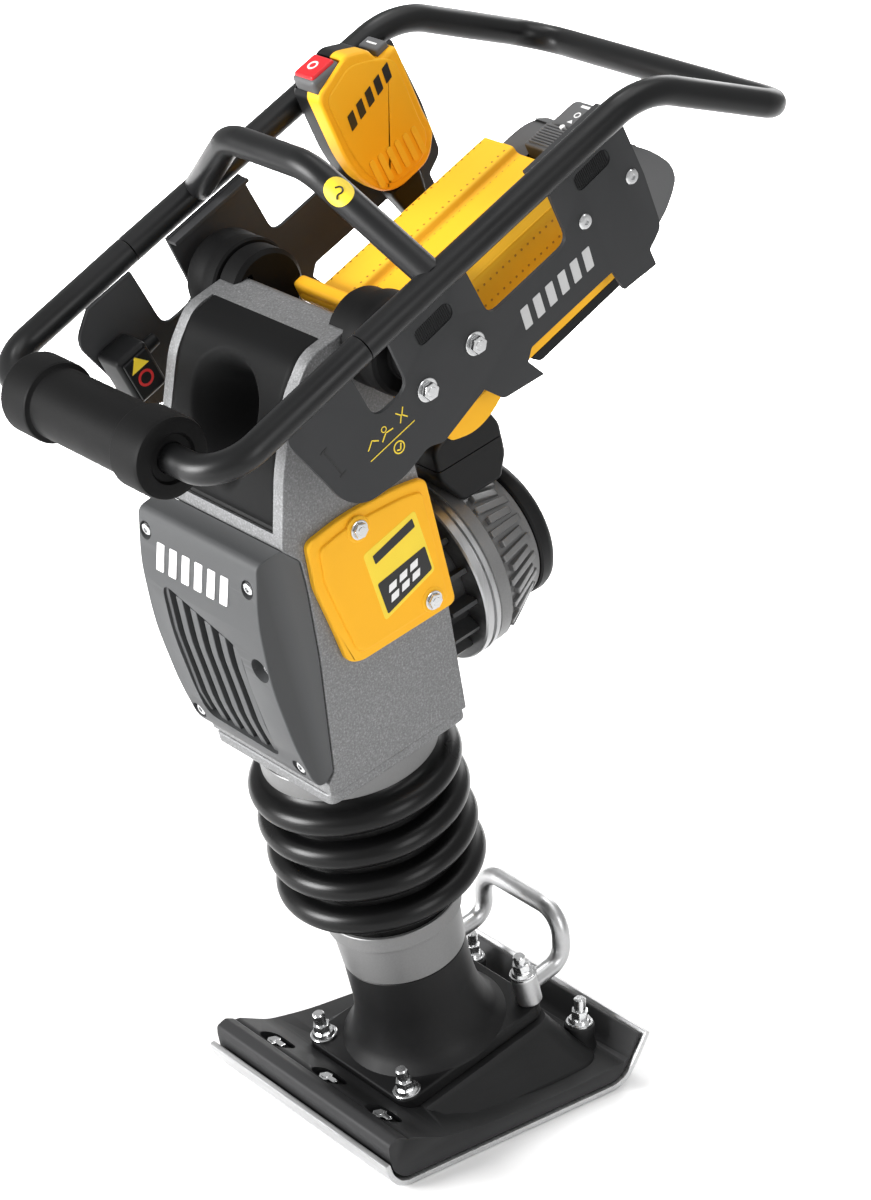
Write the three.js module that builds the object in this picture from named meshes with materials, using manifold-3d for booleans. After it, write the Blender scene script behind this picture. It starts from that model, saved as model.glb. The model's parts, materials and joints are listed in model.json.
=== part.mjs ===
// Battery-powered jumping jack rammer, in millimetres, +Z up.
// The origin is on the sole's underside in the middle of its width, under the ram's axis.
// -Y is the front (the guide roller), +X is the operator's right-hand side seen from behind.
import * as THREE from "three";
import { mergeVertices } from "three/addons/utils/BufferGeometryUtils.js";
import Module from "manifold-3d";

const wasm = await Module();
wasm.setup();

// ---------- driving dimensions ----------

const GAP = 0.3; // between two pieces that touch
const WELD_MM = 1e-3; // vertices closer than this are one

// The ram leans back to front: u runs up its axis, v runs rearward across it.
const RAM_TILT = 15;
const RAM_BASE_Z = 45;

// The handle frame rises to the rear: s runs along its side tubes, n is normal to them.
const HANDLE_TILT = 28.8;
const HANDLE_Y = -102;
const HANDLE_Z = 898;

// Shoe
const SOLE_HALF_WIDTH = 140;
const SOLE_THICKNESS = 5;
const SHOE_HALF_WIDTH = 136;
const FLANGE_HALF_X = 78;
const FLANGE_HALF_V = 90;
const FLANGE_U = 4;
const FLANGE_THICKNESS = 14;
const STUD_X = 65;
const STUD_V = 76;
const FOOT_BOSS_X = 62;
const FOOT_BOSS_V = 84;

// Leg and springs
const LEG_RADIUS = 60;
const LEG_TOP_U = 116;
const CYLINDER_OUTER = 52;
const CYLINDER_INNER = 45;
const CYLINDER_FOOT_U = 33;
const CYLINDER_TOP_U = 332;
const BAND_TOP_U = 160;
const CLAMP_TOP_U = 178;
const SPRING_WIRE = 4.5;
const SPRING_RADIUS = 35;
const PISTON_U = 182;
const PISTON_THICKNESS = 16;
const ROD_RADIUS = 12;

// Bellows
const RIB_RADIUS = 101;
const RIB_CORE_RADIUS = 80;
const FIRST_RIB_U = 219;
const RIB_PITCH = 38.3;
const RIBS = 4;
const COLLAR_U = 355;
const COLLAR_TOP_U = 376;
const COLLAR_RADIUS = 84;

// Crankcase
const CASE_HALF_WIDTH = 90;
const CASE_WALL = 9;
const CASE_FOOT_U = 389;
const GUIDE_OUTER = 62;
const GUIDE_INNER = 52.4;
const GUIDE_FOOT_U = 205;

// Drive
const MOTOR_U = 478;
const CRANK_U = 568;
const CRANK_THROW = 30;
const CON_ROD_LENGTH = 150;
const WRIST_PIN_RADIUS = 9;
const GEAR_MODULE = 4.5;
const GEAR_TEETH = 32;
const PINION_TEETH = 8;
const GEAR_V = 36;
const GEAR_WIDTH = 18;
const CASE_REAR_V = 88;
const NECK_END_V = 120;
const RING_END_V = 138;
const FINS_END_V = 206;
const MOTOR_END_V = 226;

// Handle
const TUBE_RADIUS = 13;
const TUBE_X = 167;
const BOW_S = -278;
const SEAM_S = -115;
const CREST_S = 227;
const TAIL_S = 359;
const TAIL_N = -126;
const BAR_S = -28;
const PLATE_INNER_X = 149;
const PLATE_OUTER_X = 153.4;
const ROLLER_HALF_LENGTH = 102.6;
const ROLLER_RADIUS = 31;
const ROLLER_RIM_RADIUS = 36;
const ROLLER_RIM_WIDTH = 40;
const MOUNT_S = -60;
const MOUNT_N = -62;
const MOUNT_RADIUS = 42;
const BRACKET_RADIUS = 38;
const BRACKET_X = 64;
const BRACKET_V = 79;
const BRACKET_U = 776;

const DEG = Math.PI / 180;

// ---------- materials ----------

const finish = (color, roughness, metalness) =>
  new THREE.MeshStandardMaterial({ color, roughness, metalness });
const FINISHES = {
  black_paint: finish(0x1b1c1d, 0.5, 0.3),
  black_plastic: finish(0x17181a, 0.6, 0),
  rubber: finish(0x121313, 0.75, 0),
  silver_casting: finish(0x8d8f91, 0.55, 0.6),
  machined: finish(0xb9bbbd, 0.35, 0.9),
  steel: finish(0xc9cacc, 0.3, 1),
  grey_plastic: finish(0x4a4d50, 0.65, 0),
  yellow: finish(0xf5b81f, 0.45, 0),
  red: finish(0xc8202a, 0.4, 0),
  copper: finish(0xb5713c, 0.4, 1),
};

// ---------- solids ----------

// A closed geometry as a solid, turned right side out if its faces point in.
function solidOf(geometry) {
  const flat = geometry.index ? geometry.toNonIndexed() : geometry;
  const bare = new THREE.BufferGeometry();
  bare.setAttribute("position", flat.getAttribute("position"));
  const merged = mergeVertices(bare, WELD_MM);
  const corners = new Uint32Array(merged.index.array);
  const make = () =>
    new wasm.Manifold(
      new wasm.Mesh({
        numProp: 3,
        vertProperties: merged.attributes.position.array,
        triVerts: corners,
      }),
    );
  const solid = make();
  if (solid.volume() > 0) return solid;
  for (let i = 0; i < corners.length; i += 3) {
    [corners[i], corners[i + 1]] = [corners[i + 1], corners[i]];
  }
  return make();
}

function geometryOf(solid) {
  const mesh = solid.getMesh();
  const geometry = new THREE.BufferGeometry();
  const places = new Float32Array(mesh.vertProperties);
  geometry.setAttribute("position", new THREE.BufferAttribute(places, 3));
  geometry.setIndex(new THREE.BufferAttribute(new Uint32Array(mesh.triVerts), 1));
  geometry.computeVertexNormals();
  return geometry;
}

const join = (first, ...others) => others.reduce((whole, other) => whole.add(other), first);
const cut = (first, ...tools) => tools.reduce((whole, tool) => whole.subtract(tool), first);

function block([x0, x1], [y0, y1], [z0, z1]) {
  const geometry = new THREE.BoxGeometry(x1 - x0, y1 - y0, z1 - z0);
  return solidOf(geometry.translate((x0 + x1) / 2, (y0 + y1) / 2, (z0 + z1) / 2));
}

// A block whose lower and upper faces are the rectangles [[x0, x1], [y0, y1], z].
function frustum(lower, upper) {
  const geometry = new THREE.BoxGeometry(2, 2, 2);
  const place = geometry.attributes.position;
  for (let i = 0; i < place.count; i++) {
    const face = place.getZ(i) < 0 ? lower : upper;
    const x = face[0][place.getX(i) < 0 ? 0 : 1];
    const y = face[1][place.getY(i) < 0 ? 0 : 1];
    const z = Array.isArray(face[2]) ? face[2][place.getY(i) < 0 ? 0 : 1] : face[2];
    place.setXYZ(i, x, y, z);
  }
  return solidOf(geometry);
}

// An outline of [a, b] or [a, b, radius] points; a radius rounds its corner.
function outlineShape(points) {
  const shape = new THREE.Shape();
  points.forEach(([a, b, radius = 0], i) => {
    const here = new THREE.Vector2(a, b);
    const before = new THREE.Vector2(...points[(i + points.length - 1) % points.length]);
    const after = new THREE.Vector2(...points[(i + 1) % points.length]);
    const enter = here.clone().add(before.sub(here).setLength(radius));
    const leave = here.clone().add(after.sub(here).setLength(radius));
    if (i === 0) shape.moveTo(enter.x, enter.y);
    else shape.lineTo(enter.x, enter.y);
    if (radius) shape.quadraticCurveTo(a, b, leave.x, leave.y);
  });
  shape.closePath();
  return shape;
}

function extruded(points, depth, arcSteps) {
  const options = { depth, bevelEnabled: false, curveSegments: arcSteps };
  return new THREE.ExtrudeGeometry(outlineShape(points), options);
}

const moved = (solid, matrix) => solidOf(geometryOf(solid).applyMatrix4(matrix));

// A plate across X, from a (y, z) outline.
function plate(points, [x0, x1], arcSteps = 4) {
  const turn = new THREE.Matrix4().makeBasis(
    new THREE.Vector3(0, 1, 0),
    new THREE.Vector3(0, 0, 1),
    new THREE.Vector3(1, 0, 0),
  );
  return solidOf(extruded(points, x1 - x0, arcSteps).applyMatrix4(turn).translate(x0, 0, 0));
}

// A slab lying flat, from an (x, y) outline.
function slab(points, [z0, z1], arcSteps = 4) {
  return solidOf(extruded(points, z1 - z0, arcSteps).translate(0, 0, z0));
}

// A slab standing across Y, from an (x, z) outline.
function slabAlongV(points, [y0, y1], arcSteps = 4) {
  const geometry = extruded(points, y1 - y0, arcSteps).rotateX(90 * DEG);
  return solidOf(geometry.translate(0, y1, 0));
}

const rectangle = (halfX, halfY, radius, x = 0, y = 0) => [
  [x - halfX, y - halfY, radius],
  [x + halfX, y - halfY, radius],
  [x + halfX, y + halfY, radius],
  [x - halfX, y + halfY, radius],
];

// A turned piece, from [radius, height] points, about the "x", "y" or "z" direction.
function turned(axis, points, segments = 24) {
  const profile = points.map(([r, h]) => new THREE.Vector2(r, h));
  const geometry = new THREE.LatheGeometry(profile, segments);
  if (axis === "x") geometry.rotateZ(-90 * DEG);
  if (axis === "z") geometry.rotateX(90 * DEG);
  return geometry;
}

function rod(axis, radius, [from, to], [x, y, z] = [0, 0, 0], segments = 24) {
  const points = [
    [0, from],
    [radius, from],
    [radius, to],
    [0, to],
  ];
  return solidOf(turned(axis, points, segments).translate(x, y, z));
}

function sleeve(axis, [inner, outer], [from, to], [x, y, z] = [0, 0, 0], segments = 24) {
  const points = [
    [inner, from],
    [outer, from],
    [outer, to],
    [inner, to],
    [inner, from],
  ];
  return solidOf(turned(axis, points, segments).translate(x, y, z));
}

const revolved = (axis, points, [x, y, z] = [0, 0, 0], segments = 24) =>
  solidOf(turned(axis, points, segments).translate(x, y, z));

// A path of straight stretches and rounded corners, which an extrusion follows station by station.
class BentPath extends THREE.Curve {
  constructor(points, arcSteps = 6) {
    super();
    this.stations = [];
    this.headings = [];
    const places = points.map(([x, y, z]) => new THREE.Vector3(x, y, z));
    const add = (place, heading) => {
      this.stations.push(place);
      this.headings.push(heading.clone().normalize());
    };
    add(places[0], places[1].clone().sub(places[0]));
    for (let i = 1; i < places.length - 1; i++) {
      const into = places[i].clone().sub(places[i - 1]).normalize();
      const out = places[i + 1].clone().sub(places[i]).normalize();
      const bend = into.angleTo(out);
      const radius = points[i][3];
      const reach = radius * Math.tan(bend / 2);
      const start = places[i].clone().addScaledVector(into, -reach);
      const side = out.clone().addScaledVector(into, -out.dot(into)).normalize();
      for (let k = 0; k <= arcSteps; k++) {
        const angle = (bend * k) / arcSteps;
        const place = start.clone().addScaledVector(into, radius * Math.sin(angle));
        place.addScaledVector(side, radius * (1 - Math.cos(angle)));
        const heading = into.clone().multiplyScalar(Math.cos(angle));
        add(place, heading.addScaledVector(side, Math.sin(angle)));
      }
    }
    const last = places.length - 1;
    add(places[last], places[last].clone().sub(places[last - 1]));
  }

  get steps() {
    return this.stations.length - 1;
  }

  getPointAt(t) {
    return this.stations[Math.round(t * this.steps)].clone();
  }

  getTangentAt(t) {
    return this.headings[Math.round(t * this.steps)].clone();
  }
}

function circleShape(radius, sides) {
  const shape = new THREE.Shape();
  for (let i = 0; i < sides; i++) {
    const angle = (2 * Math.PI * i) / sides;
    const place = [radius * Math.cos(angle), radius * Math.sin(angle)];
    if (i === 0) shape.moveTo(...place);
    else shape.lineTo(...place);
  }
  shape.closePath();
  return shape;
}

// A round bar along [x, y, z, bend radius] points.
function bentBar(points, radius, sides = 12, arcSteps = 5) {
  const path = new BentPath(points, arcSteps);
  const options = { steps: path.steps, extrudePath: path, bevelEnabled: false };
  return solidOf(new THREE.ExtrudeGeometry(circleShape(radius, sides), options));
}

// A helical compression spring about z, with flat closed ends left out.
function coilSpring([from, to], turns) {
  const path = new THREE.Curve();
  path.getPoint = (t) => {
    const angle = 2 * Math.PI * turns * t;
    const height = from + SPRING_WIRE + (to - from - 2 * SPRING_WIRE) * t;
    return new THREE.Vector3(
      SPRING_RADIUS * Math.cos(angle),
      SPRING_RADIUS * Math.sin(angle),
      height,
    );
  };
  const options = { steps: turns * 12, extrudePath: path, bevelEnabled: false };
  return solidOf(new THREE.ExtrudeGeometry(circleShape(SPRING_WIRE, 5), options));
}

// A spur gear about y, with straight-sided teeth thin enough to run freely.
function spurGear(teeth, [from, to], [x, z], bore, phase) {
  const pitchRadius = (GEAR_MODULE * teeth) / 2;
  const root = pitchRadius - 1.2 * GEAR_MODULE;
  const tip = pitchRadius + 0.75 * GEAR_MODULE;
  const pitch = (2 * Math.PI) / teeth;
  const shape = new THREE.Shape();
  for (let i = 0; i < teeth; i++) {
    const corners = [
      [root, -0.3],
      [tip, -0.12],
      [tip, 0.12],
      [root, 0.3],
    ];
    corners.forEach(([radius, share], k) => {
      const angle = pitch * (i + share + phase);
      const place = [radius * Math.cos(angle), radius * Math.sin(angle)];
      if (i === 0 && k === 0) shape.moveTo(...place);
      else shape.lineTo(...place);
    });
  }
  shape.closePath();
  const options = { depth: to - from, bevelEnabled: false };
  const geometry = new THREE.ExtrudeGeometry(shape, options).rotateX(90 * DEG);
  const gear = solidOf(geometry.translate(x, to, z));
  return cut(gear, rod("y", bore, [from - 1, to + 1], [x, 0, z]));
}

// ---------- the groups and their bodies ----------

const rammer = new THREE.Group();
rammer.name = "jumping_jack_rammer";

const ram = new THREE.Group();
ram.position.z = RAM_BASE_Z;
ram.rotation.x = RAM_TILT * DEG;
ram.updateMatrix();
rammer.add(ram);
const ramMatrix = ram.matrix;

const handle = new THREE.Group();
handle.position.set(0, HANDLE_Y, HANDLE_Z);
handle.rotation.x = HANDLE_TILT * DEG;
rammer.add(handle);

function place(group, name, solid, material) {
  const mesh = new THREE.Mesh(geometryOf(solid), FINISHES[material]);
  mesh.name = name;
  group.add(mesh);
}

// ---------- shoe ----------

function soleProfile(lift) {
  return [
    [-162 + lift, 23],
    [-158 + lift, 14, 4],
    [-147 + 0.7 * lift, 3 + 0.7 * lift, 4],
    [-135 + 0.3 * lift, lift, 3],
    [125 - 0.2 * lift, lift, 4],
    [140 - 0.5 * lift, 7 + 0.9 * lift, 5],
    [152 - 0.8 * lift, 24 + 0.5 * lift, 6],
    [166 - lift, 49],
  ];
}

function wearPlate() {
  const outline = [...soleProfile(0), ...soleProfile(SOLE_THICKNESS).reverse()];
  return plate(outline, [-SOLE_HALF_WIDTH, SOLE_HALF_WIDTH]);
}

function shoeBody() {
  const seat = soleProfile(SOLE_THICKNESS + 1);
  const deck = [
    [153, 50, 2],
    [141, 24, 6],
    [60, 21, 20],
    [-47, 26, 20],
    [-94, 33, 10],
    [-131, 49],
    [-146, 54, 3],
    [-156, 50, 3],
  ];
  const pan = plate([...seat, ...deck], [-SHOE_HALF_WIDTH, SHOE_HALF_WIDTH]);
  const slope = Math.tan(RAM_TILT * DEG);
  const rise = RAM_BASE_Z + (FLANGE_U - GAP) / Math.cos(RAM_TILT * DEG);
  const top = [rise - 90 * slope, rise + 84 * slope];
  const pedestal = frustum(
    [[-118, 118], [-110, 126], 15],
    [[-82, 82], [-90, 84], top],
  );
  const rearBosses = [-83, 83].map((x) => rod("z", 15, [21, 49], [x, 124, 0]));
  const pockets = [-83.6, 0, 83.6].map((x) =>
    slab(rectangle(17, 9, 8, x, -121), [34, 60], 3),
  );
  const flangeRoom = slab(
    rectangle(FLANGE_HALF_X + GAP, FLANGE_HALF_V + GAP, 16),
    [FLANGE_U - GAP, 80],
  );
  return cut(join(pan, pedestal, ...rearBosses), moved(flangeRoom, ramMatrix), ...pockets);
}

// ---------- leg ----------

function legCasting() {
  const flange = slab(rectangle(FLANGE_HALF_X, FLANGE_HALF_V, 16), [
    FLANGE_U,
    FLANGE_U + FLANGE_THICKNESS,
  ]);
  const pot = revolved("z", [
    [0, FLANGE_U],
    [72, FLANGE_U + 3],
    [72, FLANGE_U + FLANGE_THICKNESS],
    [66, 24],
    [62, 40],
    [LEG_RADIUS, 60],
    [LEG_RADIUS, LEG_TOP_U],
    [0, LEG_TOP_U],
  ]);
  const bore = rod("z", CYLINDER_OUTER + GAP, [CYLINDER_FOOT_U - GAP, LEG_TOP_U + 1], [0, 0, 0], 24);
  return cut(join(flange, pot), bore);
}

function springCylinder() {
  const band = LEG_TOP_U + GAP;
  return revolved("z", [
    [CYLINDER_INNER, CYLINDER_FOOT_U + 8],
    [CYLINDER_INNER, CYLINDER_TOP_U],
    [CYLINDER_OUTER, CYLINDER_TOP_U],
    [CYLINDER_OUTER, CLAMP_TOP_U],
    [57, CLAMP_TOP_U],
    [57, BAND_TOP_U],
    [62.5, BAND_TOP_U],
    [LEG_RADIUS, band],
    [CYLINDER_OUTER, band],
    [CYLINDER_OUTER, CYLINDER_FOOT_U],
    [0, CYLINDER_FOOT_U],
    [0, CYLINDER_FOOT_U + 8],
    [CYLINDER_INNER, CYLINDER_FOOT_U + 8],
  ]);
}

// The bellows is a rubber skin: bulging ribs between a lower cuff and an upper cuff.
function bellows() {
  const skin = 4;
  const wall = (inset) => {
    const points = [
      [61.5 - inset, BAND_TOP_U + GAP],
      [61.5 - inset, CLAMP_TOP_U + GAP],
    ];
    for (let i = 0; i < RIBS; i++) {
      const middle = FIRST_RIB_U + i * RIB_PITCH;
      const bulge = RIB_RADIUS - RIB_CORE_RADIUS;
      for (let k = 0; k <= 4; k++) {
        const angle = (-80 + 40 * k) * DEG;
        const reach = RIB_CORE_RADIUS + bulge * Math.cos(angle) - inset;
        points.push([reach, middle + 0.42 * RIB_PITCH * Math.sin(angle)]);
      }
    }
    points.push([COLLAR_RADIUS - 6 - inset, COLLAR_U - GAP], [COLLAR_RADIUS - 6 - inset, COLLAR_TOP_U]);
    return points;
  };
  const outer = wall(0);
  return revolved("z", [...outer, ...wall(skin).reverse(), outer[0]], [0, 0, 0], 24);
}

function guideBush() {
  const top = CYLINDER_TOP_U + GAP;
  return revolved("z", [
    [ROD_RADIUS + 0.1, top - 18],
    [CYLINDER_INNER - GAP, top - 18],
    [CYLINDER_INNER - GAP, top],
    [CYLINDER_OUTER - 0.5, top],
    [CYLINDER_OUTER - 0.5, top + 8],
    [ROD_RADIUS + 0.1, top + 8],
    [ROD_RADIUS + 0.1, top - 18],
  ]);
}

// A bent carrying handle with a round boss at each end, bolted to the flange's rear corners.
function footHandle() {
  const half = [
    [FOOT_BOSS_X - 2, FOOT_BOSS_V, 31, 0],
    [FOOT_BOSS_X - 3, 134, 33, 20],
    [FOOT_BOSS_X - 4, 144, 84, 22],
  ];
  const mirrored = half.map(([x, v, u, r]) => [-x, v, u, r]).reverse();
  const bar = bentBar([...half, ...mirrored], 9, 12, 4);
  const foot = FLANGE_U + FLANGE_THICKNESS + GAP;
  const bosses = [-1, 1].map((side) =>
    rod("z", 13, [foot, 50], [side * FOOT_BOSS_X, FOOT_BOSS_V, 0], 20),
  );
  return join(bar, ...bosses);
}

function flangeStud() {
  return revolved(
    "z",
    [
      [0, 0],
      [13, 0],
      [13, 3],
      [10.5, 3],
      [10.5, 14],
      [6, 17],
      [6, 28],
      [0, 28],
    ],
    [0, 0, 0],
    12,
  );
}

place(rammer, "wear_plate", wearPlate(), "steel");
place(rammer, "shoe_body", shoeBody(), "black_paint");
place(ram, "leg_casting", legCasting(), "black_paint");
place(ram, "spring_cylinder", springCylinder(), "silver_casting");
place(
  ram,
  "lower_clamp_ring",
  sleeve("z", [62.3, 66], [BAND_TOP_U + GAP, CLAMP_TOP_U - 1]),
  "machined",
);
place(ram, "bellows", bellows(), "rubber");
place(ram, "guide_bush", guideBush(), "machined");
place(ram, "lower_spring", coilSpring([CYLINDER_FOOT_U + 9, PISTON_U - 1], 6), "steel");
place(
  ram,
  "upper_spring",
  coilSpring([PISTON_U + PISTON_THICKNESS + 1, CYLINDER_TOP_U - 19], 5),
  "steel",
);

// ---------- ram: piston, rod and connecting rod ----------

const PIN_U = CRANK_U + CRANK_THROW - CON_ROD_LENGTH;

function piston() {
  return sleeve("z", [ROD_RADIUS + GAP, CYLINDER_INNER - 0.4], [
    PISTON_U,
    PISTON_U + PISTON_THICKNESS,
  ]);
}

function pistonRod() {
  const shaft = rod("z", ROD_RADIUS, [PISTON_U - 12, PIN_U - 20]);
  const crosshead = rod("z", 34, [PIN_U - 24, PIN_U + 16], [0, 0, 0], 24);
  const slot = block([-40, 40], [-11, 11], [PIN_U - 17, PIN_U + 20]);
  const pinBore = rod("y", WRIST_PIN_RADIUS + GAP, [-40, 40], [0, 0, PIN_U]);
  return cut(join(shaft, crosshead), slot, pinBore);
}

function connectingRod() {
  const half = 9;
  const top = CRANK_U + CRANK_THROW;
  const smallEye = rod("y", 16, [-half, half], [0, 0, PIN_U]);
  const bigEye = rod("y", 22, [-half, half], [0, 0, top]);
  const shank = block([-9, 9], [-half + 2, half - 2], [PIN_U + 8, top - 12]);
  const whole = join(smallEye, bigEye, shank);
  const pinBore = rod("y", WRIST_PIN_RADIUS + GAP, [-half - 1, half + 1], [0, 0, PIN_U]);
  const crankBore = rod("y", 14, [-half - 1, half + 1], [0, 0, top]);
  return cut(whole, pinBore, crankBore);
}

place(ram, "piston", piston(), "steel");
place(ram, "piston_rod", pistonRod(), "steel");
place(ram, "wrist_pin", rod("y", WRIST_PIN_RADIUS, [-26, 26], [0, 0, PIN_U]), "steel");
place(ram, "connecting_rod", connectingRod(), "steel");

// ---------- crankcase ----------

const CASE_FRONT = [
  [-83, CASE_FOOT_U],
  [-83, 402],
  [-73, 411],
  [-57, 523],
  [-51, 593],
  [-51, 622],
  [-66, 640],
  [-47, 701, 10],
  [-19, 764, 12],
  [8, 792, 12],
];

function crankcase() {
  const outside = [...CASE_FRONT, [65, 799, 3], [86, 690, 3], [84, 503, 3], [76, CASE_FOOT_U]];
  const inside = [
    [-64, CASE_FOOT_U + CASE_WALL],
    [-63, 411],
    [-47, 523],
    [-42, 593],
    [-42, 622],
    [-56, 645],
    [-38, 700],
    [-14, 752],
    [6, 780],
    [58, 788],
    [76, 690],
    [74, 503],
    [66, CASE_FOOT_U + CASE_WALL],
  ];
  const shell = plate(outside, [-CASE_HALF_WIDTH, CASE_HALF_WIDTH]);
  const room = plate(inside, [CASE_WALL - CASE_HALF_WIDTH, CASE_HALF_WIDTH - CASE_WALL]);
  const guideBore = rod("z", GUIDE_OUTER + GAP, [CASE_FOOT_U - 1, CASE_FOOT_U + 21], [0, 0, 0], 24);
  const motorBore = rod("y", 58, [60, 100], [0, 0, MOTOR_U], 24);
  const insertRoom = plate(insertOutline(GAP), [-INSERT_HALF_WIDTH - GAP, INSERT_HALF_WIDTH + GAP]);
  return cut(shell, room, guideBore, motorBore, insertRoom);
}

// Each shock mount bolts to a round bracket that hugs the case's top rear corner.
function mountBracket(side) {
  const span = [side * BRACKET_X, side * CASE_HALF_WIDTH].sort((a, b) => a - b);
  const caseRoom = [
    [0, 600],
    [0, 792],
    [65.4, 799.4],
    [86.4, 690],
    [86.4, 600],
  ];
  const corner = plate(caseRoom, [-CASE_HALF_WIDTH - 1, CASE_HALF_WIDTH + 1]);
  return cut(rod("x", BRACKET_RADIUS, span, [0, BRACKET_V, BRACKET_U], 32), corner);
}

// The black intake panel is let into the upper front of the case.
const INSERT_HALF_WIDTH = 76;
const INSERT_DEPTH = 6;

function insertOutline(clearance) {
  const proud = 8;
  const out = clearance ? proud : -1;
  const depth = INSERT_DEPTH + clearance;
  return [
    [-61 - out, 656 - clearance],
    [-47 - out, 701],
    [-19 - 0.8 * out, 764 + 0.5 * out],
    [8 - 0.4 * out, 792 + 0.9 * out],
    [30 + clearance, 795 + out],
    [30 + clearance, 795 - depth],
    [8 + 0.4 * depth, 792 - 0.9 * depth],
    [-19 + 0.8 * depth, 764 - 0.5 * depth],
    [-47 + depth, 701],
    [-61 + depth, 656 - clearance],
  ];
}

function intakeInsert() {
  const panel = plate(insertOutline(0), [-INSERT_HALF_WIDTH, INSERT_HALF_WIDTH]);
  const opening = new THREE.CylinderGeometry(1, 1, 60, 28).scale(28, 1, 40);
  opening.rotateX(62 * DEG).translate(0, -36, 738);
  return cut(panel, solidOf(opening));
}

function baseFlange() {
  const outline = rectangle(88, 80, 10, 0, -4);
  const plateU = [CASE_FOOT_U - 12, CASE_FOOT_U - GAP];
  const bore = rod("z", GUIDE_OUTER + GAP, [plateU[0] - 1, plateU[1] + 1], [0, 0, 0], 24);
  return cut(slab(outline, plateU), bore);
}

function frontCover() {
  const outside = [
    [-84, 404],
    [-90, 404, 4],
    [-96, 414, 5],
    [-104, 456],
    [-110, 525, 20],
    [-106, 590, 20],
    [-92, 641, 6],
    [-67, 641],
    [-51.6, 622],
    [-51.6, 593],
    [-57.6, 523],
    [-73.6, 411],
  ];
  const inside = [
    [-40, 410],
    [-84, 410],
    [-98, 460],
    [-104, 525],
    [-100, 590],
    [-88, 634],
    [-40, 634],
  ];
  const shell = plate(outside, [-88, 88]);
  const room = plate(inside, [-80, 80]);
  const louvres = [-46, -26, -6, 14, 34].map((x, i) =>
    block([x - 5, x + 5], [-130, -92], [430 + 6 * i, 560 - 4 * i]),
  );
  return cut(shell, room, ...louvres);
}

const SIDE_COVER = [
  [-45, 637, 6],
  [0, 643],
  [60, 638],
  [87, 632, 5],
  [88, 501, 5],
  [-23, 502, 6],
  [-35, 510, 5],
  [-40, 546],
  [-48, 593, 4],
];

place(ram, "crankcase", crankcase(), "silver_casting");
place(ram, "mount_bracket_right", mountBracket(1), "black_paint");
place(ram, "mount_bracket_left", mountBracket(-1), "black_paint");
place(ram, "base_flange", baseFlange(), "silver_casting");
place(
  ram,
  "guide_cylinder",
  sleeve("z", [GUIDE_INNER, GUIDE_OUTER], [GUIDE_FOOT_U, CASE_FOOT_U + 20]),
  "machined",
);
place(
  ram,
  "upper_clamp_ring",
  sleeve("z", [COLLAR_RADIUS - 5, COLLAR_RADIUS], [COLLAR_U, COLLAR_TOP_U]),
  "machined",
);
place(ram, "front_cover", frontCover(), "grey_plastic");
place(ram, "intake_insert", intakeInsert(), "black_plastic");
for (const [name, side] of [
  ["side_cover_right", 1],
  ["side_cover_left", -1],
]) {
  const span = [side * (CASE_HALF_WIDTH + GAP), side * 99].sort((a, b) => a - b);
  place(ram, name, plate(SIDE_COVER, span), "yellow");
}

// ---------- motor ----------

const alongMotor = [0, 0, MOTOR_U];

function motorHousing() {
  const shell = revolved("y", [
    [54, RING_END_V + GAP],
    [90, RING_END_V + GAP],
    [88, 158],
    [80, 182],
    [68, FINS_END_V],
    [54, FINS_END_V],
    [54, RING_END_V + GAP],
  ], alongMotor);
  return shell;
}

place(
  ram,
  "motor_neck",
  sleeve("y", [50, 66], [CASE_REAR_V + 1, NECK_END_V - GAP], alongMotor),
  "black_paint",
);
place(
  ram,
  "motor_ring",
  sleeve("y", [20, 91], [NECK_END_V, RING_END_V], alongMotor),
  "machined",
);
place(ram, "motor_housing", motorHousing(), "silver_casting");
place(
  ram,
  "motor_end_cap",
  revolved("y", [
    [0, FINS_END_V + GAP],
    [69, FINS_END_V + GAP],
    [70, 218],
    [64, MOTOR_END_V],
    [0, MOTOR_END_V],
  ], alongMotor),
  "black_plastic",
);
place(ram, "stator", sleeve("y", [38, 53], [145, 192], alongMotor), "copper");
place(ram, "motor_bearing", sleeve("y", [9.1, 19.6], [122, 136], alongMotor), "steel");
place(ram, "rotor_shaft", rod("y", 9, [GEAR_V - 2, 200], alongMotor), "steel");
place(ram, "rotor_core", sleeve("y", [9 + GAP, 37.3], [146, 191], alongMotor), "steel");
place(ram, "cooling_fan", sleeve("y", [9 + GAP, 46], [193, 199], alongMotor), "black_plastic");
place(
  ram,
  "pinion",
  spurGear(PINION_TEETH, [GEAR_V, GEAR_V + GEAR_WIDTH], [0, MOTOR_U], 9 + GAP, 0.5),
  "steel",
);

function electronicsBox() {
  const side = [
    [130, 590, 6],
    [130, 620, 8],
    [150, 629, 8],
    [197, 629, 8],
    [207, 610, 6],
    [207, 578, 6],
    [196, 556, 4],
    [150, 556, 4],
  ];
  const body = plate(side, [-52, 52]);
  const saddle = rod("y", 92, [100, 240], alongMotor, 24);
  return cut(body, saddle);
}
place(ram, "electronics_box", electronicsBox(), "black_plastic");

// ---------- crank ----------

function crankGear() {
  const gear = spurGear(GEAR_TEETH, [GEAR_V, GEAR_V + GEAR_WIDTH], [0, CRANK_U], 14 + GAP, 0);
  return cut(gear, rod("y", 8 + GAP, [0, 60], [0, 0, CRANK_U + CRANK_THROW]));
}

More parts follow.
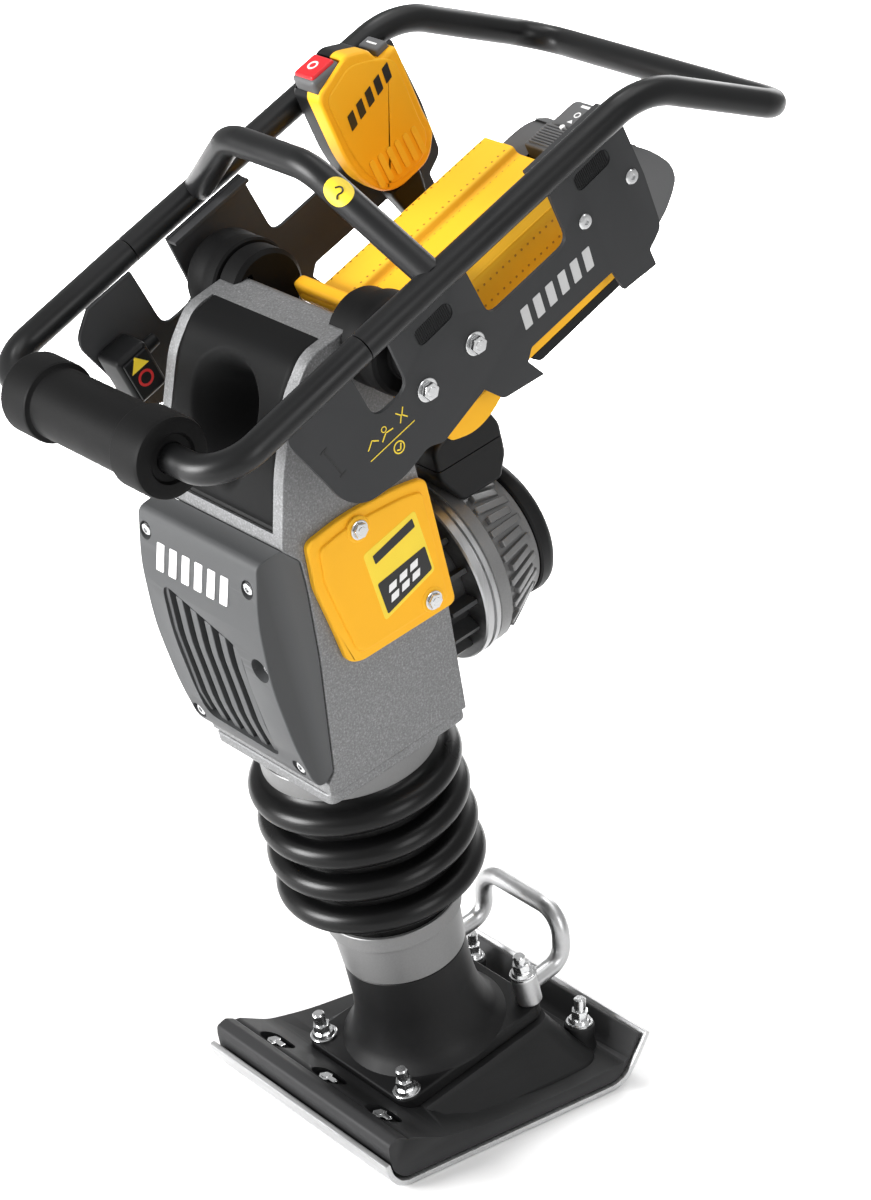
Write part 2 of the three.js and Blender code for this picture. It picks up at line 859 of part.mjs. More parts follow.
place(ram, "crank_gear", crankGear(), "steel");
place(ram, "crank_shaft", rod("y", 14, [GEAR_V, 72], [0, 0, CRANK_U]), "steel");
place(
  ram,
  "crank_pin",
  rod("y", 8, [10, GEAR_V + GEAR_WIDTH], [0, 0, CRANK_U + CRANK_THROW]),
  "steel",
);
place(
  ram,
  "counterweight",
  cut(
    slabAlongV(rectangle(46, 38, 16, 0, CRANK_U - 8), [13, GEAR_V - GAP]),
    rod("y", 8 + GAP, [0, 60], [0, 0, CRANK_U + CRANK_THROW]),
  ),
  "steel",
);
place(
  ram,
  "crank_bearing",
  sleeve("y", [14.2, 26], [56, 70], [0, 0, CRANK_U]),
  "steel",
);

// ---------- handle ----------

const RING = TUBE_RADIUS + 0.4;

function frontBow() {
  return bentBar(
    [
      [TUBE_X, SEAM_S - GAP, 0, 0],
      [TUBE_X, BOW_S, -2, 42],
      [-TUBE_X, BOW_S, -2, 42],
      [-TUBE_X, SEAM_S - GAP, 0, 0],
    ],
    TUBE_RADIUS,
  );
}

function rearLoop() {
  return bentBar(
    [
      [TUBE_X, SEAM_S, 0, 0],
      [TUBE_X, CREST_S, 0, 95],
      [TUBE_X, TAIL_S, TAIL_N, 40],
      [-TUBE_X, TAIL_S, TAIL_N, 40],
      [-TUBE_X, CREST_S, 0, 95],
      [-TUBE_X, SEAM_S, 0, 0],
    ],
    TUBE_RADIUS,
  );
}

function liftingBar() {
  const arch = bentBar(
    [
      [TUBE_X, BAR_S, 0, 0],
      [56, BAR_S, 88, 50],
      [-56, BAR_S, 88, 50],
      [-TUBE_X, BAR_S, 0, 0],
    ],
    TUBE_RADIUS,
  );
  const tubes = [-TUBE_X, TUBE_X].map((x) => rod("y", RING, [BAR_S - 80, BAR_S + 80], [x, 0, 0]));
  return cut(arch, ...tubes);
}

const PLATE_OUTLINE = [
  [-182, -7],
  [-208, -27, 14],
  [-195, -82],
  [-188, -115, 12],
  [-171, -133, 12],
  [-129, -140, 10],
  [-97, -134, 6],
  [-82, -142, 4],
  [-26, -131],
  [-13, -153, 4],
  [32, -164],
  [23, -142],
  [32, -133],
  [135, -134],
  [138, -158],
  [178, -162],
  [178, -145],
  [198, -135, 8],
  [203, -80],
  [203, -7],
  [110, -7],
  [108, -77, 12],
  [9, -77, 12],
  [7, -7],
  [-85, -7],
  [-87, -74, 14],
  [-128, -74, 14],
  [-130, -7],
];

function sidePlate(side) {
  const span = (a, b) => [side * a, side * b].sort((p, q) => p - q);
  const web = plate(PLATE_OUTLINE, span(PLATE_INNER_X, PLATE_OUTER_X));
  const frontFlange = block(span(138, PLATE_INNER_X + 1), [-85, 7], [-12, -8]);
  const rearFlange = block(span(128, PLATE_INNER_X + 1), [110, 203], [-12, -8]);
  return side > 0 ? join(web, frontFlange, rearFlange) : join(web, frontFlange);
}

// The yellow battery cradle: a stepped hood over the battery, on a shallow tray between the plates.
const HOOD_HALF_WIDTH = 62;
const TRAY_HALF_WIDTH = 124;
const BATTERY_HALF_WIDTH = 59;

// A bar along Y, from an (x, z) outline.
const HOOD_SECTION = [
  [-HOOD_HALF_WIDTH, -165],
  [HOOD_HALF_WIDTH, -165],
  [HOOD_HALF_WIDTH, -110],
  [42, -86],
  [1, -86],
  [1, -78],
  [-42, -78],
  [-HOOD_HALF_WIDTH, -110],
];

function cradle() {
  const hood = slabAlongV(HOOD_SECTION, [-30, 186]);
  const cap = block([-52, 52], [-44, -29], [-84, -61]);
  const capFoot = block([-40, 40], [-44, -29], [-165, -80]);
  const tray = plate(
    [
      [-58, -157],
      [180, -157],
      [180, -165],
      [40, -165],
      [8, -170, 10],
      [-14, -180, 10],
      [-38, -182, 10],
      [-64, -170, 6],
    ],
    [-TRAY_HALF_WIDTH, TRAY_HALF_WIDTH],
  );
  const bay = plate(batteryOutline(1.5), [-BATTERY_HALF_WIDTH - 1.5, BATTERY_HALF_WIDTH + 1.5]);
  return cut(join(hood, cap, capFoot, tray), bay);
}

function trayFloor() {
  const length = [
    [42, -165 - GAP],
    [178, -165 - GAP],
    [170, -175],
    [50, -175],
  ];
  const inner = BATTERY_HALF_WIDTH + 2;
  return plate(length, [inner, TRAY_HALF_WIDTH]);
}

function batteryOutline(clearance) {
  return [
    [40 - clearance, -110 + clearance],
    [247, -110 + clearance],
    [262, -121],
    [281, -144],
    [295, -174],
    [286, -190],
    [266, -204 - clearance],
    [249, -210 - clearance],
    [150 - clearance, -204 - clearance],
    [140 - clearance, -150 - clearance],
    [40 - clearance, -150 - clearance],
  ];
}

function batteryPack() {
  const body = plate(batteryOutline(0), [-BATTERY_HALF_WIDTH, BATTERY_HALF_WIDTH]);
  const grip = block([-20, 20], [240, 284], [-150, -100]);
  const latchRoom = block([-20, 20], [202, 240.5], [-116, -90]);
  return cut(join(body, grip), latchRoom);
}

const BOX_OUTLINE = [
  [89, 25, 6],
  [133, 39, 4],
  [143, 34],
  [156, 27],
  [161, 11],
  [183, 12, 4],
  [179, -65],
  [181, -83, 6],
  [163, -106, 12],
  [120, -107, 12],
  [103, -95, 8],
  [90, -70, 8],
  [86, -44],
];
const BOX_FACE_X = -108;
const BOX_SPLIT_X = -127;
const BOX_BACK_X = -148.5;

const STOP_BUTTON = { x: [-146, -112], s: [93, 127], floor: 20, top: 44 };
const START_BUTTON = { x: [-142, -116], s: [165, 180], floor: 2, top: 18 };

function buttonBlock({ x, s, floor, top }, spare = 0) {
  return block(
    [x[0] - spare, x[1] + spare],
    [s[0] - spare, s[1] + spare],
    [spare ? floor - 3.5 : floor, spare ? top + 30 : top],
  );
}

function controlShell(span) {
  const rooms = [STOP_BUTTON, START_BUTTON].map((button) => buttonBlock(button, GAP));
  return cut(plate(BOX_OUTLINE, span), ...rooms);
}

function controlBracket() {
  return block([-132, -112], [114, 152], [-157 + GAP, -107.4]);
}

function guideRoller() {
  const rim = ROLLER_HALF_LENGTH - ROLLER_RIM_WIDTH;
  const bore = TUBE_RADIUS + 0.1;
  const half = [
    [bore, ROLLER_HALF_LENGTH],
    [ROLLER_RIM_RADIUS - 5, ROLLER_HALF_LENGTH],
    [ROLLER_RIM_RADIUS, ROLLER_HALF_LENGTH - 5],
    [ROLLER_RIM_RADIUS, rim],
    [ROLLER_RADIUS, rim - 4],
  ];
  const profile = [
    ...half,
    ...half.map(([r, h]) => [r, -h]).reverse(),
    half[0],
  ];
  return revolved("x", profile, [0, BOW_S, -2], 28);
}

function shockMount(side) {
  const inner = side * (CASE_HALF_WIDTH + GAP);
  const middle = side * 134;
  const outer = side * (PLATE_INNER_X - GAP);
  const profile = [
    [0, inner],
    [MOUNT_RADIUS, inner],
    [MOUNT_RADIUS, middle],
    [24, middle],
    [24, outer],
    [0, outer],
  ];
  return revolved("x", profile, [0, MOUNT_S, MOUNT_N], 24);
}

place(handle, "front_bow", frontBow(), "black_paint");
place(handle, "rear_loop", rearLoop(), "black_paint");
place(handle, "lifting_bar", liftingBar(), "black_paint");
place(handle, "side_plate_right", sidePlate(1), "black_paint");
place(handle, "side_plate_left", sidePlate(-1), "black_paint");
place(handle, "cradle", cradle(), "yellow");
place(handle, "battery_pack", batteryPack(), "grey_plastic");
place(
  handle,
  "battery_latch",
  block([-18, 18], [206, 238], [-112.5, -94]),
  "grey_plastic",
);
place(handle, "tray_floor", trayFloor(), "black_plastic");
place(handle, "control_box", controlShell([BOX_SPLIT_X + GAP, BOX_FACE_X]), "yellow");
place(handle, "control_back", controlShell([BOX_BACK_X, BOX_SPLIT_X]), "black_plastic");
place(handle, "control_bracket", controlBracket(), "black_paint");
place(handle, "stop_button", buttonBlock(STOP_BUTTON), "red");
place(handle, "start_button", buttonBlock(START_BUTTON), "grey_plastic");
place(handle, "guide_roller", guideRoller(), "rubber");
place(handle, "shock_mount_right", shockMount(1), "rubber");
place(handle, "shock_mount_left", shockMount(-1), "rubber");
place(ram, "foot_handle", footHandle(), "machined");

for (const [name, x, v] of [
  ["flange_stud_front_right", STUD_X, -STUD_V],
  ["flange_stud_front_left", -STUD_X, -STUD_V],
]) {
  const stud = geometryOf(flangeStud()).translate(x, v, FLANGE_U + FLANGE_THICKNESS + GAP);
  const mesh = new THREE.Mesh(stud, FINISHES.steel);
  mesh.name = name;
  ram.add(mesh);
}

export default rammer;
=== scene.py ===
"""Visual model of a battery-powered jumping jack rammer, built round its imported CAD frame."""
import json
import math

import bmesh
import bpy
from mathutils import Matrix, Vector


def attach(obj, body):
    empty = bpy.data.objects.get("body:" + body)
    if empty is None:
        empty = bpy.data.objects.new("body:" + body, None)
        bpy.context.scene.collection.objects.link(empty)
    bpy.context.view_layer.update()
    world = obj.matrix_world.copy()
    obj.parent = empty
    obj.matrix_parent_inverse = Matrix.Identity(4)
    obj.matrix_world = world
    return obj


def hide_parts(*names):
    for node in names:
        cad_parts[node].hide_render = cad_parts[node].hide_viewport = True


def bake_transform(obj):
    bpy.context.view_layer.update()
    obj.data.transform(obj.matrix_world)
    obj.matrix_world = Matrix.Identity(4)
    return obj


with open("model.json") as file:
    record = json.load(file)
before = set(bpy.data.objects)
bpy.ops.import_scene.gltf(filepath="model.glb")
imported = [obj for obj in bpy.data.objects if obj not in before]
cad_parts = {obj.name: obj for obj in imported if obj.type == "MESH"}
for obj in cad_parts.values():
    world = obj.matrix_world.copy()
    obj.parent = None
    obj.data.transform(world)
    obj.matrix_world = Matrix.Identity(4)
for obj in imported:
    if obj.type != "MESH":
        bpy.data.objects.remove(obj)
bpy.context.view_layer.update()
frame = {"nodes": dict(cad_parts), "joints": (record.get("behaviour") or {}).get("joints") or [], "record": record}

MM = 0.001
ON_AXIS = 1e-6
SIDES = ((1, "right"), (-1, "left"))

# ---------- local frames, taken from the joints ----------

JOINTS = {joint["name"]: joint for joint in frame["joints"]}


def local_frame(angle, point, along_y, along_z):
    """A frame turned about X, in millimetres, in which point lies at (0, along_y, along_z)."""
    turn = Matrix.Rotation(angle, 4, "X")
    offset = turn @ Vector((0, along_y * MM, along_z * MM))
    return Matrix.Translation(Vector(point) - offset) @ turn @ Matrix.Scale(MM, 4)


GEAR_PIVOT_V = 40
CRANK_U = 568
BOW_S = -278
BOW_N = -2

stroke_axis = JOINTS["ram_stroke"]["axis"]
slide_axis = JOINTS["battery_slide"]["axis"]
RAM_ANGLE = math.atan2(-stroke_axis[1], stroke_axis[2])
HANDLE_ANGLE = math.atan2(slide_axis[2], slide_axis[1])
# RAM: (x, v, u), u up the ram's axis and v rearward. HANDLE: (x, s, n), s up the tubes.
RAM = local_frame(RAM_ANGLE, JOINTS["crank_turn"]["pos_m"], GEAR_PIVOT_V, CRANK_U)
HANDLE = local_frame(HANDLE_ANGLE, JOINTS["roller_spin"]["pos_m"], BOW_S, BOW_N)
UPRIGHT = Matrix.Scale(MM, 4)


# ---------- mesh building ----------


def rounded(points, arc_steps=5):
    """An outline of (a, b) or (a, b, radius) points, with the radii turned into short curves."""
    outline = []
    for i, point in enumerate(points):
        here = Vector(point[:2])
        radius = point[2] if len(point) > 2 else 0
        if not radius:
            outline.append(here)
            continue
        before = Vector(points[i - 1][:2])
        after = Vector(points[(i + 1) % len(points)][:2])
        enter = here + (before - here).normalized() * radius
        leave = here + (after - here).normalized() * radius
        for k in range(arc_steps + 1):
            t = k / arc_steps
            outline.append(enter * (1 - t) ** 2 + here * 2 * t * (1 - t) + leave * t ** 2)
    return outline


def across(axis, a, b, depth):
    if axis == "x":
        return Vector((depth, a, b))
    if axis == "y":
        return Vector((a, depth, b))
    return Vector((a, b, depth))


def skinned(bm, rings):
    """Walls between rings of equally many vertices, and a cap on the first and the last."""
    count = len(rings[0])
    for low, high in zip(rings, rings[1:]):
        for i in range(count):
            j = (i + 1) % count
            bm.faces.new((low[i], low[j], high[j], high[i]))
    bm.faces.new(rings[0][::-1])
    bm.faces.new(rings[-1])
    bmesh.ops.recalc_face_normals(bm, faces=bm.faces)
    return bm


def prism(points, axis, span, arc_steps=5):
    """An outline carried along x, y or z; its points are the other two coordinates in order."""
    bm = bmesh.new()
    outline = rounded(points, arc_steps)
    return skinned(bm, [[bm.verts.new(across(axis, a, b, depth)) for a, b in outline] for depth in span])


def rectangle(a, b, radius=0):
    """The outline of a rectangle over two spans."""
    return [(a[0], b[0], radius), (a[1], b[0], radius), (a[1], b[1], radius), (a[0], b[1], radius)]


def box(x, y, z):
    return prism(rectangle(x, y), "z", z)


def soften(bm, width, segments=3, above_deg=38, keep=None):
    """Rounds the edges that are sharper than above_deg."""
    edges = [
        edge
        for edge in bm.edges
        if edge.is_manifold
        and edge.calc_face_angle(0) > math.radians(above_deg)
        and (keep is None or keep(edge))
    ]
    bmesh.ops.bevel(
        bm, geom=edges, offset=width, segments=segments, profile=0.5, affect="EDGES",
        clamp_overlap=True,
    )
    return bm


def circle(radius, count, spin=0.0):
    """Evenly spaced points on a circle; six make a hexagon."""
    angles = [spin + math.tau * k / count for k in range(count)]
    return [(radius * math.cos(angle), radius * math.sin(angle)) for angle in angles]


def lathe(profile, axis="z", centre=(0, 0, 0), segments=64):
    """A turned piece from (radius, height) points; a radius of 0 closes on the axis."""
    bm = bmesh.new()
    rings = []
    for radius, height in profile:
        if radius < ON_AXIS:
            rings.append([bm.verts.new((0, 0, height))])
            continue
        rings.append([bm.verts.new((a, b, height)) for a, b in circle(radius, segments)])
    pairs = list(zip(rings, rings[1:]))
    if profile[0][0] > ON_AXIS:
        pairs.append((rings[-1], rings[0]))
    for low, high in pairs:
        if len(low) == 1 and len(high) == 1:
            continue
        for i in range(segments):
            j = (i + 1) % segments
            corners = [low[i % len(low)], low[j % len(low)], high[j % len(high)], high[i % len(high)]]
            bm.faces.new(list(dict.fromkeys(corners)))
    if axis == "x":
        turn(bm, Matrix.Rotation(math.pi / 2, 4, "Y"))
    if axis == "y":
        turn(bm, Matrix.Rotation(-math.pi / 2, 4, "X"))
    turn(bm, Matrix.Translation(Vector(centre)))
    bmesh.ops.recalc_face_normals(bm, faces=bm.faces)
    return bm


def tube(inner, outer, span, axis="z", centre=(0, 0, 0), segments=64):
    """A straight tube; an inner radius of 0 makes it a rod."""
    profile = [(inner, span[0]), (outer, span[0]), (outer, span[1]), (inner, span[1])]
    return lathe(profile, axis, centre, segments)


def turn(bm, matrix):
    bmesh.ops.transform(bm, matrix=matrix, verts=bm.verts)
    return bm


def moved(bm, x=0, y=0, z=0):
    return turn(bm, Matrix.Translation((x, y, z)))


def joined(*meshes):
    """One mesh that holds several shells."""
    whole = bmesh.new()
    for bm in meshes:
        scratch = bpy.data.meshes.new("scratch")
        bm.to_mesh(scratch)
        bm.free()
        whole.from_mesh(scratch)
        bpy.data.meshes.remove(scratch)
    return whole


def flipped(bm):
    """The mirror image across X."""
    bmesh.ops.scale(bm, vec=(-1, 1, 1), verts=bm.verts)
    bmesh.ops.reverse_faces(bm, faces=bm.faces)
    return bm


def scratch_object(bm):
    mesh = bpy.data.meshes.new("scratch")
    bm.to_mesh(mesh)
    bm.free()
    obj = bpy.data.objects.new("scratch", mesh)
    bpy.context.scene.collection.objects.link(obj)
    return obj


def combined(bm, *tools, operation="DIFFERENCE"):
    """bm with the tools cut from it, or joined to it."""
    base = scratch_object(bm)
    cutters = [scratch_object(tool) for tool in tools]
    for cutter in cutters:
        modifier = base.modifiers.new("cut", "BOOLEAN")
        modifier.operation = operation
        modifier.solver = "EXACT"
        modifier.object = cutter
    bpy.context.view_layer.update()
    result = bpy.data.meshes.new_from_object(
        base.evaluated_get(bpy.context.evaluated_depsgraph_get())
    )
    out = bmesh.new()
    out.from_mesh(result)
    bpy.data.meshes.remove(result)
    for obj in [base, *cutters]:
        mesh = obj.data
        bpy.data.objects.remove(obj)
        bpy.data.meshes.remove(mesh)
    bmesh.ops.dissolve_limit(
        out, angle_limit=math.radians(0.5), verts=out.verts, edges=out.edges
    )
    return out


def bent_path(points, arc_steps=10):
    """(place, heading) along straight stretches and corners given as (x, y, z, radius)."""
    places = [Vector(point[:3]) for point in points]
    stations = [(places[0], (places[1] - places[0]).normalized())]
    for i in range(1, len(places) - 1):
        into = (places[i] - places[i - 1]).normalized()
        out = (places[i + 1] - places[i]).normalized()
        bend = into.angle(out)
        radius = points[i][3]
        start = places[i] - into * radius * math.tan(bend / 2)
        side = (out - into * out.dot(into)).normalized()
        for k in range(arc_steps + 1):
            angle = bend * k / arc_steps
            place = start + into * radius * math.sin(angle) + side * radius * (1 - math.cos(angle))
            stations.append((place, into * math.cos(angle) + side * math.sin(angle)))
    stations.append((places[-1], (places[-1] - places[-2]).normalized()))
    return stations


def sweep(points, radius, sides=28, arc_steps=10):
    """A round bar along a bent path."""
    stations = bent_path(points, arc_steps)
    bm = bmesh.new()
    normal = stations[0][1].orthogonal().normalized()
    rings = []
    for place, heading in stations:
        normal = (normal - heading * normal.dot(heading)).normalized()
        side = heading.cross(normal).normalized()
        rings.append([bm.verts.new(place + normal * a + side * b) for a, b in circle(radius, sides)])
    return skinned(bm, rings)


def piece(name, bm, place, body, finish, replaces=(), sharp_deg=32, weighted=True):
    """Turns a local mesh into a finished piece that rides on a body."""
    bmesh.ops.remove_doubles(bm, verts=bm.verts, dist=0.005)
    limit = math.radians(sharp_deg)
    for face in bm.faces:
        face.smooth = True
    for edge in bm.edges:
        edge.smooth = edge.is_manifold and edge.calc_face_angle(0) < limit
    mesh = bpy.data.meshes.new(name)
    bm.to_mesh(mesh)
    bm.free()
    mesh.transform(place)
    obj = bpy.data.objects.new(name, mesh)
    bpy.context.scene.collection.objects.link(obj)
    mesh.materials.append(MATERIALS[finish])
    if weighted:
        normals = obj.modifiers.new("normals", "WEIGHTED_NORMAL")
        normals.keep_sharp = True
        normals.weight = 80
    if replaces:
        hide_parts(*replaces)
    if body:
        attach(obj, body)
    return obj


def handed(side, place, body, parts):
    """Finishes (name, mesh, finish, replaced nodes) parts, mirrored on the left side."""
    for name, bm, finish, nodes in parts:
        if side < 0:
            flipped(bm)
        piece(name, bm, place, body, finish, nodes)


# ---------- materials ----------


class Nodes:
    """A material's node tree, with short calls for the nodes it uses."""

    def __init__(self, name):
        self.material = bpy.data.materials.new(name)
        self.material.use_nodes = True
        self.tree = self.material.node_tree
        self.shader = self.tree.nodes["Principled BSDF"]
        self.place = self.tree.nodes.new("ShaderNodeTexCoord").outputs["Object"]

    def link(self, output, target):
        self.tree.links.new(output, target)

    def stretched(self, scale):
        mapping = self.tree.nodes.new("ShaderNodeMapping")
        mapping.inputs["Scale"].default_value = scale
        self.link(self.place, mapping.inputs["Vector"])
        return mapping.outputs["Vector"]

    def noise(self, scale, detail=3.0, rough=0.55, vector=None):
        node = self.tree.nodes.new("ShaderNodeTexNoise")
        node.inputs["Scale"].default_value = scale
        node.inputs["Detail"].default_value = detail
        node.inputs["Roughness"].default_value = rough
        self.link(vector or self.place, node.inputs["Vector"])
        return node.outputs["Fac"]

    def ramp(self, value, stops):
        node = self.tree.nodes.new("ShaderNodeValToRGB")
        elements = node.color_ramp.elements
        while len(elements) < len(stops):
            elements.new(0.5)
        for element, (position, colour) in zip(elements, stops):
            element.position = position
            element.color = (*colour, 1)
        self.link(value, node.inputs["Fac"])
        return node.outputs["Color"]

    def remap(self, value, low, high, out_low, out_high):
        node = self.tree.nodes.new("ShaderNodeMapRange")
        for socket, number in zip(node.inputs[1:5], (low, high, out_low, out_high)):
            socket.default_value = number
        self.link(value, node.inputs["Value"])
        return node.outputs["Result"]

    def mix(self, factor, first, second):
        node = self.tree.nodes.new("ShaderNodeMix")
        node.data_type = "RGBA"
        self.link(factor, node.inputs["Factor"])
        for socket, value in ((node.inputs[6], first), (node.inputs[7], second)):
            if isinstance(value, tuple):
                socket.default_value = (*value, 1)
            else:
                self.link(value, socket)
        return node.outputs[2]

    def edges(self, low=0.52, high=0.6):
        node = self.tree.nodes.new("ShaderNodeNewGeometry")
        return self.remap(node.outputs["Pointiness"], low, high, 0, 1)

    def bump(self, height, strength, distance_mm, under=None):
        node = self.tree.nodes.new("ShaderNodeBump")
        node.inputs["Strength"].default_value = strength
        node.inputs["Distance"].default_value = distance_mm * MM
        self.link(height, node.inputs["Height"])
        if under:
            self.link(under, node.inputs["Normal"])
        self.link(node.outputs["Normal"], self.shader.inputs["Normal"])
        return node.outputs["Normal"]


def tint(colour, factor):
    return tuple(min(1.0, channel * factor) for channel in colour)


def grained(name, colour, roughness, metallic=0.0, spread=0.12, grain=900, depth=0.05,
            edge=None, specular=0.5, rough_spread=0.08):
    """A moulded, cast or coated surface: blotches and grain in colour, roughness and height."""
    nodes = Nodes(name)
    shader = nodes.shader
    broad = nodes.noise(9, 4)
    fine = nodes.noise(grain, 2)
    base = nodes.ramp(broad, [(0.3, tint(colour, 1 - spread)), (0.7, tint(colour, 1 + spread))])
    mixed = nodes.mix(nodes.remap(fine, 0.35, 0.65, 0, 0.5), base, tint(colour, 1 + 1.6 * spread))
    if edge:
        mixed = nodes.mix(nodes.edges(), mixed, edge)
    nodes.link(mixed, shader.inputs["Base Color"])
    rough = nodes.remap(broad, 0.3, 0.7, roughness - rough_spread, roughness + rough_spread)
    nodes.link(rough, shader.inputs["Roughness"])
    shader.inputs["Metallic"].default_value = metallic
    shader.inputs["Specular IOR Level"].default_value = specular
    nodes.bump(fine, 0.6, depth)
    return nodes.material


def cast_metal(name, colour, roughness):
    """Sand-cast aluminium: a fine pitted grain over broad light and dark clouds."""
    nodes = Nodes(name)
    shader = nodes.shader
    cloud = nodes.noise(7, 3)
    grain = nodes.noise(520, 4, 0.7)
    pits = nodes.noise(230, 2, 0.5)
    base = nodes.ramp(cloud, [(0.3, tint(colour, 0.92)), (0.7, tint(colour, 1.06))])
    dark = nodes.mix(nodes.remap(grain, 0.36, 0.62, 0.75, 0), base, tint(colour, 0.5))
    light = nodes.mix(nodes.remap(grain, 0.56, 0.72, 0, 0.7), dark, tint(colour, 1.6))
    worn = nodes.mix(nodes.edges(0.54, 0.62), light, tint(colour, 1.35))
    nodes.link(worn, shader.inputs["Base Color"])
    nodes.link(nodes.remap(grain, 0.3, 0.7, roughness - 0.1, roughness + 0.12),
               shader.inputs["Roughness"])
    shader.inputs["Metallic"].default_value = 0.55
    coarse = nodes.bump(pits, 0.5, 0.5)
    nodes.bump(grain, 0.8, 0.35, coarse)
    return nodes.material


def brushed(name, colour, roughness, stretch, depth=0.02, spread=0.1):
    """A turned or brushed metal, with fine lines along one direction."""
    nodes = Nodes(name)
    shader = nodes.shader
    lines = nodes.noise(1, 3, 0.6, nodes.stretched(stretch))
    cloud = nodes.noise(14, 3)
    base = nodes.ramp(lines, [(0.3, tint(colour, 1 - spread)), (0.7, tint(colour, 1 + spread))])
    stained = nodes.mix(nodes.remap(cloud, 0.45, 0.75, 0, 0.45), base, tint(colour, 0.72))
    nodes.link(stained, shader.inputs["Base Color"])
    nodes.link(nodes.remap(lines, 0.3, 0.7, roughness - 0.06, roughness + 0.1), shader.inputs["Roughness"])
    shader.inputs["Metallic"].default_value = 1
    nodes.bump(lines, 0.5, depth)
    return nodes.material


MATERIALS = {
    "black_paint": grained("black powder coat", (0.006, 0.0062, 0.0065), 0.38, 0.0, 0.12, 700, 0.03,
                           edge=(0.014, 0.014, 0.015), specular=0.3),
    "plate_paint": grained("plate powder coat", (0.032, 0.033, 0.034), 0.55, 0.0, 0.05, 1100, 0.04,
                           edge=(0.05, 0.05, 0.052), specular=0.2),
    "shoe_paint": grained("shoe coating", (0.008, 0.0082, 0.0085), 0.5, 0.0, 0.16, 500, 0.06,
                          edge=(0.03, 0.03, 0.031), specular=0.25),
    "leg_paint": grained("leg coating", (0.005, 0.005, 0.0053), 0.5, 0.0, 0.14, 500, 0.05,
                         specular=0.22),
    "black_plastic": grained("black plastic", (0.006, 0.0062, 0.0066), 0.45, 0.0, 0.1, 1500, 0.02,
                             specular=0.22),
    "panel_plastic": grained("intake panel plastic", (0.005, 0.0051, 0.0053), 0.55, 0.0, 0.08, 1500,
                             0.03, specular=0.12),
    "rubber": grained("moulded rubber", (0.002, 0.002, 0.0021), 0.3, 0.0, 0.18, 900, 0.02,
                      specular=0.25, rough_spread=0.05),
    "roller_rubber": grained("roller rubber", (0.004, 0.004, 0.0041), 0.55, 0.0, 0.12, 600, 0.04,
                             specular=0.12),
    "silver_casting": cast_metal("grey textured casting", (0.245, 0.247, 0.25), 0.5),
    "dark_casting": grained("dark casting", (0.03, 0.0305, 0.031), 0.5, 0.3, 0.2, 500, 0.12),
    "satin_casting": grained("satin casting", (0.2, 0.2, 0.2), 0.45, 0.6, 0.07, 500, 0.08),
    "grey_plastic": grained("dark grey cover", (0.053, 0.0543, 0.056), 0.55, 0.0, 0.05, 1300, 0.05,
                            edge=(0.1, 0.102, 0.104), specular=0.3),
    "battery_plastic": grained("battery grey", (0.105, 0.106, 0.108), 0.5, 0.0, 0.06, 1300, 0.03,
                               specular=0.35),
    "yellow": grained("yellow plastic", (0.9, 0.43, 0.014), 0.48, 0.0, 0.03, 1300, 0.025,
                      edge=(0.9, 0.5, 0.03), rough_spread=0.05, specular=0.2),
    "red": grained("red button", (0.62, 0.008, 0.014), 0.35, 0.0, 0.06, 1200, 0.01),
    "machined": brushed("machined aluminium", (0.72, 0.725, 0.73), 0.36, (30, 30, 2500)),
    "turned": brushed("turned ring", (0.47, 0.472, 0.476), 0.34, (20, 1800, 20)),
    "steel": brushed("plated steel", (0.72, 0.725, 0.73), 0.18, (400, 400, 900), 0.01, 0.06),
    "sole_steel": brushed("worn sole steel", (0.6, 0.602, 0.605), 0.42, (14, 500, 500), 0.05, 0.14),
    "bar_metal": brushed("handle alloy", (0.52, 0.522, 0.525), 0.36, (300, 300, 300), 0.01, 0.05),
    "winding": brushed("copper winding", (0.6, 0.26, 0.12), 0.35, (900, 60, 900), 0.05, 0.2),
    "white_print": grained("white print", (0.78, 0.78, 0.78), 0.45, 0, 0.03, 900, 0.004),
    "grey_print": grained("grey print", (0.5, 0.5, 0.5), 0.45, 0, 0.05, 900, 0.004),
    # Real black print, and also painted shade: the near-black sheet at the front cover's grille floor.
    "black_print_and_shade": grained("black print and shade", (0.008, 0.008, 0.008), 0.4, 0, 0.08, 900, 0.004),
    # Painted shade: a darkened yellow for the vent dots, standing in for the shadow inside the cradle's vent
    # holes.
    "vent_hole_shade": grained("cradle vent shadow", (0.42, 0.19, 0.012), 0.5, 0, 0.05, 900, 0.01),
    "yellow_print": grained("yellow print", (0.85, 0.62, 0.03), 0.45, 0, 0.05, 900, 0.004),
    "red_print": grained("red print", (0.6, 0.02, 0.02), 0.45, 0, 0.05, 900, 0.004),
}


def paint_cad_nodes():
    """Gives every carried-over CAD node its slot's procedural material."""
    slots = {part["node"]: part["material_slot"] for part in frame["record"]["subparts"]}
    for name, obj in frame["nodes"].items():
        obj.data.materials.clear()
        obj.data.materials.append(MATERIALS[slots[name]])


def slanted_bar(a, b, size, lean, axis, span, radius=0.8, arc_steps=2):
    """A printed bar in place of a letter: lean is how far it slants along a and b."""
    far_a = a + size[0]
    far_b = b + size[1]
    corners = [(a, b, radius), (far_a, b + lean[1], radius),
               (far_a + lean[0], far_b + lean[1], radius), (a + lean[0], far_b, radius)]
    return prism(corners, axis, span, arc_steps)


# ---------- fasteners ----------


